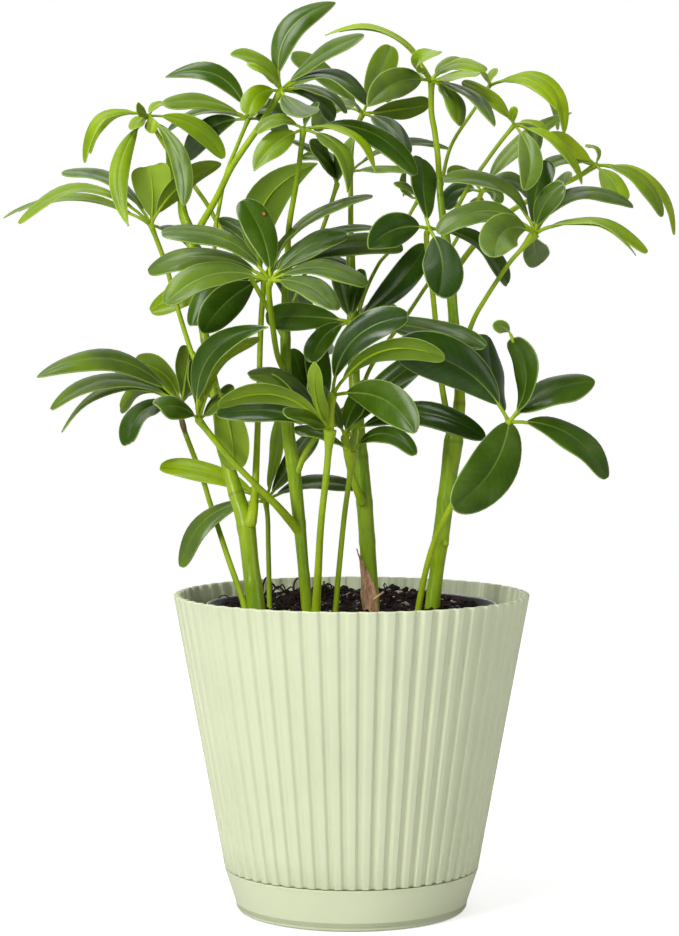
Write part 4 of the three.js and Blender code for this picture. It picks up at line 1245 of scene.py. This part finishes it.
# Leaves of the second stem, with the big dark leaf at the front and the young bright one at the upper
# left. They join it as those of the first stem do.
grow_leaf("leaf_b1", 0.2, (14, (4.4, 2.8), [
    (-22.8, 169.6, 0.4), (-33, 181.5, -8), (-44, 192.4, -13), (-56, 205, -16), (-68.5, 220.5, -17),
], [
    (-37, 262, -30, 11, 13, 0.1, pointed), (-41, 257, -10, -5, 8, 0.6), (-54, 236.5, -12, 8, -1, 0.4),
    (-86.5, 226, -34, 9.5, 3, 0.2, 0.3), (-71, 247, -8, 4, 0, 0.08),
]), (14, (1.8, 1.4), [
    (-68.5, 220.5, -17), (-65, 231, -16), (-61, 238, -15),
], [
    (-52.5, 198, -8, -15, 2, 0.6),
]))
grow_leaf("leaf_b2", 0.15, (13, (3.2, 2.4), [
    (-25, 196, -1), (-20.5, 206, -1), (-16.5, 212, 0), (-14, 215.5, 2),
], [
    (-46.3, 240.5, -18, 8, 9, 0.32), (-35.5, 241, -14, -8.5, -1, 0.4), (-27, 252.5, 10, 11, 0, 0.1),
    (-16, 257, 12, 11, 0, 0.1), (8, 224.5, 26, -8, 3, 0.4), (-28, 222, 40, 11, 6, 0.35),
]))
leaf_b3_points, leaf_b3_faces = grow_leaf("leaf_b3", 0.3, (15, (2.4, 2.6), [
    (-30, 242, -1), (-33.3, 250, -4), (-35.6, 265, -12), (-37, 278, -20), (-36.5, 282.5, -22),
], [
    (-85, 303.5, -26, 8, 9, 0.27), (-91, 286.5, -18, 10, 9, 0.3), (-83, 272, -36, 12.5, 8.5, 0.38),
    (-49, 318.5, -12, 14, 3.5, 0.2), (-22, 307.5, -4, 6, 3, 0.15), (-2, 303.5, -16, 11, 4, 0.14),
    (23, 297.5, 0, 9, 8, 0.25), (6.5, 280, -32, 7, 7, 0.28), (-8, 269.5, -46, 11, 5, 0.26),
]))
# One of its leaflets has a small brown spot with a paler heart, where the leaf was once hurt.
spot_reading = (-39, 312.4)
spot_radius = 1.5
spot_heart = 0.7
spot_brown = soil_bit_material("leaf spot", (0.20, 0.10, 0.02, 1), (0.12, 0.05, 0.01, 1), 0.6)
spot_tan = soil_bit_material("leaf spot heart", (0.42, 0.30, 0.08, 1), (0.34, 0.22, 0.05, 1), 0.6)
leaf_b3_tree = BVHTree.FromPolygons(leaf_b3_points.tolist(), leaf_b3_faces)
spot_place, spot_facing = seen_on(leaf_b3_tree, *spot_reading)
for name, radius, lift, material in (
    ("leaf_b3_spot", spot_radius, 0.15, spot_brown), ("leaf_b3_spot_heart", spot_heart, 0.24, spot_tan)
):
    spot = new_piece(name, ball_corners * np.array((radius, radius, 0.1)) * mm, crumb_faces, [material])
    spot.rotation_euler = spot_facing.to_track_quat("Z", "Y").to_euler()
    spot.location = spot_place + spot_facing * lift * mm

grow_leaf("leaf_b4", 0.65, (9, (2.2, 2), [
    (-29.5, 256, 0), (-45, 284, 2), (-58, 305, 11), (-64, 316, 16), (-71, 326, 20), (-84, 344, 22),
    (-90.5, 356, 22),
], [
    (-118.8, 335, 12, 6, 12, 0.65, 0.5), (-116.5, 339, 26, 5.5, 9, 0.65, 0.6),
    (-99.5, 307, -16, 9, 8.5, 0.6, pointed), (-75, 316, -4, 9, 6, 0.42, 0.6),
    (-57, 337, 22, 9, 6, 0.6, 0.5), (-97, 350, 12, 6, 1.5, 0.75), (-90, 348.5, 16, 6, 1, 0.85),
    (-96, 360, 12, 5, 0, 0.8), (-84, 362, 30, 4, 1, 0.7), (-80, 324, 36, 8, 6),
]), slot="young_leaf")
grow_leaf("leaf_b5", 0.2, (14, (2, 2), [
    (-29.4, 264, 1), (-20, 288, 14), (-13, 306, 22), (-10.5, 313, 22), (-6.5, 325.5, 18),
], [
    (-31, 346, 10, 4, 5, 0.15, pointed), (-19, 343.5, 4, 6, 2, 0.12), (-6, 340.5, 8, 5, 0, 0.3),
]))
grow_leaf("leaf_b6", 0.5, (12, (3, 2.4), [
    (-28.4, 290, 0), (-28, 306, -3), (-24, 330, -12), (-21.5, 350, -20),
], [
    (-43.5, 331.5, -32, 11.5, 3, 0.5, pointed), (-2, 322, -38, 8, 8, 0.5, pointed),
    (10.5, 331, -28, 3, 9, 0.85, pointed), (28.5, 329.5, -22, 10, 10, 0.08), (-15, 362, -16, 4, 1, 0.2),
    (-42, 348, -25, 6, 5, 0.5),
]))


# Leaves of the third stem. They fill the middle of the plant and its back, the two lowest very dark and
# the others lighter.
grow_leaf("leaf_c1", 0.1, (13, (4, 3), [
    (5.2, 182, 0), (2, 190.5, -4), (-0.5, 198, -6), (-2, 205, -6), (-3, 212.5, -5),
], [
    (59.5, 212, -22, 11.5, 11.5, 0.0), (33.5, 248, -10, 12.5, 4), (10, 236, -20, 9, 3),
    (-20, 236, -16, 9, 3, 0.3),
]))
grow_leaf("leaf_c2", 0.12, (13, (3, 2.6), [
    (1.2, 244, 5), (-2, 254, -3), (-0.5, 264.5, -5),
], [
    (-38.5, 266, -8, 13, 1.5, 0.2), (-7, 287, -8, 7, 0, 0.2), (5, 288, -6, 7, 0),
    (33, 299, 6, 13, -3.5, 0.02), (60, 253, -28, 11, 3, 0.2), (-17.5, 246, -12, 10, 4, 0.03),
    (-12, 250, 34, 11, 6, 0.05), (26, 260, 44, 11, 7),
]))
grow_leaf("leaf_c3", 0.5, (6, (1.8, 1.6), [
    (0.6, 258, 8), (5.5, 276, 10), (12, 290, 11), (17.5, 297, 12), (27.5, 315, 8), (30, 319, 7),
], [
    (19, 325.5, 0, 3, 2), (23, 321.5, 16, 4, 2), (24, 331, 12, 3, -4), (38, 326, 14, 5, 2),
]))
grow_leaf("leaf_c4", 0.3, (12, (2, 1.8), [
    (2.2, 222, 6), (8, 243, 12), (24.5, 267, 18), (31.5, 277.5, 22), (45, 298, 30), (58, 322, 34),
], [
    (98, 357.5, 44, 8, 5, 0.45, pointed), (42.5, 331.5, 30, -5, 3, 0.4), (80, 321, 54, 9, 6),
    (41, 315, 46, 9, 5, 0.02), (66, 317, 30, 6, 3, 0.25), (56, 309, 58, 11, 0, 0.05),
]))
grow_leaf("leaf_c5", 0.35, (9, (2.2, 1.8), [
    (-0.4, 290, 10), (-0.7, 312, 15), (-0.5, 331, 18),
], [
    (27, 331, 1, 4, 2, 0.6), (44.5, 341, 24, 3.5, 7.5, 0.3, 0.7), (1, 347, 26, 4, 2, 0.5),
    (-22, 338, 34, 5, 3, 0.15),
]))
grow_leaf("leaf_c6", 0.35, (13, (2.4, 2.2), [
    (-0.2, 284, 10), (-0.3, 312, 24), (-0.3, 335, 32), (1, 348, 34), (5, 357, 34),
], [
    (17.5, 387, 40, 13, 0, 0.52), (-27, 383, 28, 9, 3), (34.7, 361, 44, -8.5, 0, 0.1),
    (-3, 363, 22, 3, 1), (24.5, 338.5, 8, 10, 4, 0.02, 0.6), (-17, 350, 62, 11, 7),
]))


# Leaves of the fourth stem, the one furthest to the right: a very dark and glossy leaf low down, a
# lighter one above it, and young bright ones at the top.
grow_leaf("leaf_d1", 0.08, (15, (3, 2.4), [
    (45, 213, 1), (41.6, 229, -6), (39.6, 243, -7), (36.5, 275, -12), (33.5, 300, -22), (34.5, 306, -25),
], [
    (7.5, 297, -40, 15, 4.5, 0.08, 0.8), (38.3, 276, -56, 18, 4, 0.0),
    (31.5, 337, -8, 11.5, -1, 0.1, 0.3), (69.5, 281, -6, 8, 7, 0.15),
]))
grow_leaf("leaf_d2", 0.3, (15, (2.4, 2, 1.4), [
    (47.3, 243, 0), (53.8, 263.5, -8), (60, 275, -12), (70, 290, -16), (76, 297, -18), (82, 304, -19),
], [
    (40.5, 327, -14, 7, 10, 0.35), (39, 303.3, -30, 9, 10, 0.3), (64, 293, -50, 17, 8, 0.34),
    (84.5, 290.5, -2, 12, -1.5, 0.35), (86.5, 336.5, -10, 9, 2, 0.06), (95, 325.5, -26, 10, 3, 0.22),
    (132, 295, -24, 3.5, 9.5, 0.65), (127, 293.8, -36, 3, 10, 0.65, 0.7), (125.5, 316, 2, 8.5, 12),
    (95.5, 331, 4, 7, 2, 0.45),
]))
grow_leaf("leaf_d3", 0.7, (12, (2.8, 2.4), [
    (44, 284, 2), (56, 300, 12), (70, 313, 18), (86, 322, 20), (100, 328.5, 20), (108.5, 334, 20),
], [
    (88, 347, 8, 9, 2, 0.95), (86, 332, 8, 6, 4, 0.38), (91, 337, 28, 4, 1, 0.7),
    (104, 343, 24, 3, 4, 0.55), (120, 318, 4, 11, 2, 0.65), (138.3, 311, 16, 7, 7.5, 0.5, 0.5),
    (144, 303, 28, 6, 12, 0.8, 0.5),
]))
grow_leaf("leaf_d4", 0.6, (10, (2, 1.8), [
    (41.5, 304, 0), (47, 315, -3), (53, 326, -6), (58, 333, -7), (66, 344, -8), (72.5, 352, -8),
], [
    (53.5, 364, -8, 6, 3, 0.75), (49, 371, -4, 7, 3, 0.7), (73, 360, -12, 4, 1, 0.7),
    (88, 348, -2, 3.5, 3, 0.7), (76.5, 323, -28, 11, 5, 0.45, 0.6), (102.5, 325.5, -12, 5.5, 6, 0.7, 0.7),
    (82, 338, 22, 8, 5, 0.55),
]))
grow_leaf("leaf_d5", 0.72, (9, (1.8, 1.6), [
    (39.4, 322, 1), (44, 342, 9), (54, 358, 14), (61.5, 369.5, 16),
], [
    (94.5, 348, 5, 6, 15, 0.7, 0.6), (91.2, 358.5, 2, 6, 8, 0.75, 0.7), (57, 375, 8, 3, 1),
    (64, 377, 22, 4, 1), (92, 350, 62, 4, 12),
]))
grow_leaf("leaf_d6", 0.6, (12, (2.6, 2.6), [
    (39, 327, 1), (38.5, 337, 0), (37, 349, 0), (35.5, 358, 0), (35.5, 371.5, -2),
], [
    (-12, 391.5, -8, 2.6, 11.5, 0.85, pointed), (39.2, 383.5, -22, 7, 8, 0.65, 0.4),
    (7, 360, -40, 13.5, 5, 0.4, 0.8), (59.5, 375.5, -12, 5, 5.5, 0.6), (55, 373.5, -24, 6, 1, 0.7),
    (53, 375, 6, 5, 6, 0.5), (46.5, 352.7, -24, 8.5, 4.5, 0.48), (63.5, 351.3, -28, 5.5, 5, 0.35, 0.7),
    (15, 364, 30, 9, 4, 0.5), (44, 362, 30, 6, 3, 0.8),
]))


# Leaves that rise from the soil on thin stalks of their own, two behind the stems beside them and three
# in front. Their feet go down into the soil as far as the stems' do.
grow_leaf("base_leaf_1", 0.4, (14, (3, 2.4), [
    (-48, 135.5, 3), (-56, 160, 13), (-63.4, 183, 22), (-67, 194.7, 25), (-75.6, 218, 24),
    (-76.5, 227, 22),
], [
    (-141, 239.5, 6, 9.5, 14.5, 0.36, 0.7), (-134.8, 225, 20, 7, 12.5, 0.45, 0.5),
    (-130, 214.8, 34, 5.5, 15, 0.5, 0.6), (-99.5, 209.5, 0, 11.5, 8, 0.05, 0.3),
    (-96, 246.5, 44, -10, 5, 0.3), (-93, 237, 52, 6, 2, 0.3), (-72.5, 253, 42, -9, 0, 0.4),
    (-108, 239, 40, 6, 7, 0.6), (-103.5, 225.5, 48, 10, 9, 0.6, 0.3), (-60, 232, 56, 10, 5),
]))
# A corky brown scar runs along the top of its stalk.
cork_readings = [(-74.4, 214.6, 23.6), (-75.2, 217, 23), (-75.9, 220, 22.6), (-76.2, 223.4, 21.8)]
cork_radii = (0.7, 1.35, 1.3, 0.6)
cork_route = smooth_route([np.append(place(r), w * mm) for r, w in zip(cork_readings, cork_radii)], 6)
cork_points, cork_faces = tube(cork_route[:, :3], cork_route[:, 3], 12)
cork_brown = soil_bit_material("corky scar", (0.30, 0.21, 0.09, 1), (0.12, 0.075, 0.03, 1), 0.85)
cork = new_piece("base_leaf_1_scar", cork_points, cork_faces, [cork_brown])
grow_leaf("base_leaf_2", 0.6, (12, (2.6, 2.2), [
    (-36.8, 134.6, 8), (-37.4, 165, 8), (-37.6, 176, 9), (-38.5, 184, 10),
], [
    (-86, 199.3, 18, 9.5, 4, 0.8), (-76.7, 154.2, 13, 9, 10, 0.32), (-48.5, 189, 15, 2.5, 1, 0.7),
    (-31.5, 226, 26, 7, -1, 0.58), (-16, 215.5, 22, 9, 0, 0.35), (2, 190, 24, 6.5, 5, 0.2),
]))
grow_leaf("base_leaf_3", 0.4, (14, (5, 3, 0.9), [
    (-16, 133.7, -13), (-15, 152, -16), (-13.7, 174, -20), (-11.2, 197, -24), (-9.6, 216, -26),
], [
    (-60, 227, -38, -10, 10.5, 0.4), (-60.5, 223, -24, 9, 4.5, 0.02), (-28.8, 221.5, -52, 6, 2, 0.1),
    (-15.5, 245.3, -42, -8, -3, 0.5),
]), (14, (3.6, 3), [
    (-9.6, 216, -26), (-9.2, 224, -27), (-8.5, 231.5, -28),
], [
    (25.5, 266.8, -38, 13, 10.5, 0.04), (41.8, 248.5, -52, -9, 12, 0.26),
    (28.5, 214.5, -60, 16, 8, 0.24, 0.6),
]))
grow_leaf("base_leaf_4", 0.2, (10, (2.6, 2.4, 1.6), [
    (-7.3, 133.7, -9), (-3.6, 174, -12), (-0.6, 197, -14), (-0.5, 206, -14),
], [
    (28.3, 204.5, -30, 8, 9, 0.08), (-26, 216.5, -13, 4, 3, 0.2), (3, 216, -22, 4, 1, 0.5),
]))
grow_leaf("base_leaf_5", 0.1, (20, (3, 2.6), [
    (29.8, 134, -8), (35.5, 160.7, -14), (43.7, 180, -20), (58, 203, -27), (70.5, 219.5, -30),
], [
    (45, 181.5, -60, 21.5, -5.5, 0.12, 0.5, 0.0, 0.5), (114.7, 194.2, -30, 13, 8.5, 0.15, 0.45),
    (109, 238, -22, 11.5, 4.5, 0.15, 0.6), (72.5, 257.5, -36, 8, -7, 0.1, 0.35),
    (61, 258, -4, 11, -2.5, 0.06), (19.5, 252, -32, 21, 9, 0.0),
]), (6, (1.2, 1), [
    (72.6, 255, -35.6), (71.2, 258.6, -36),
], [
    (63.3, 261.5, -37, 6, 2, 0.35),
]))
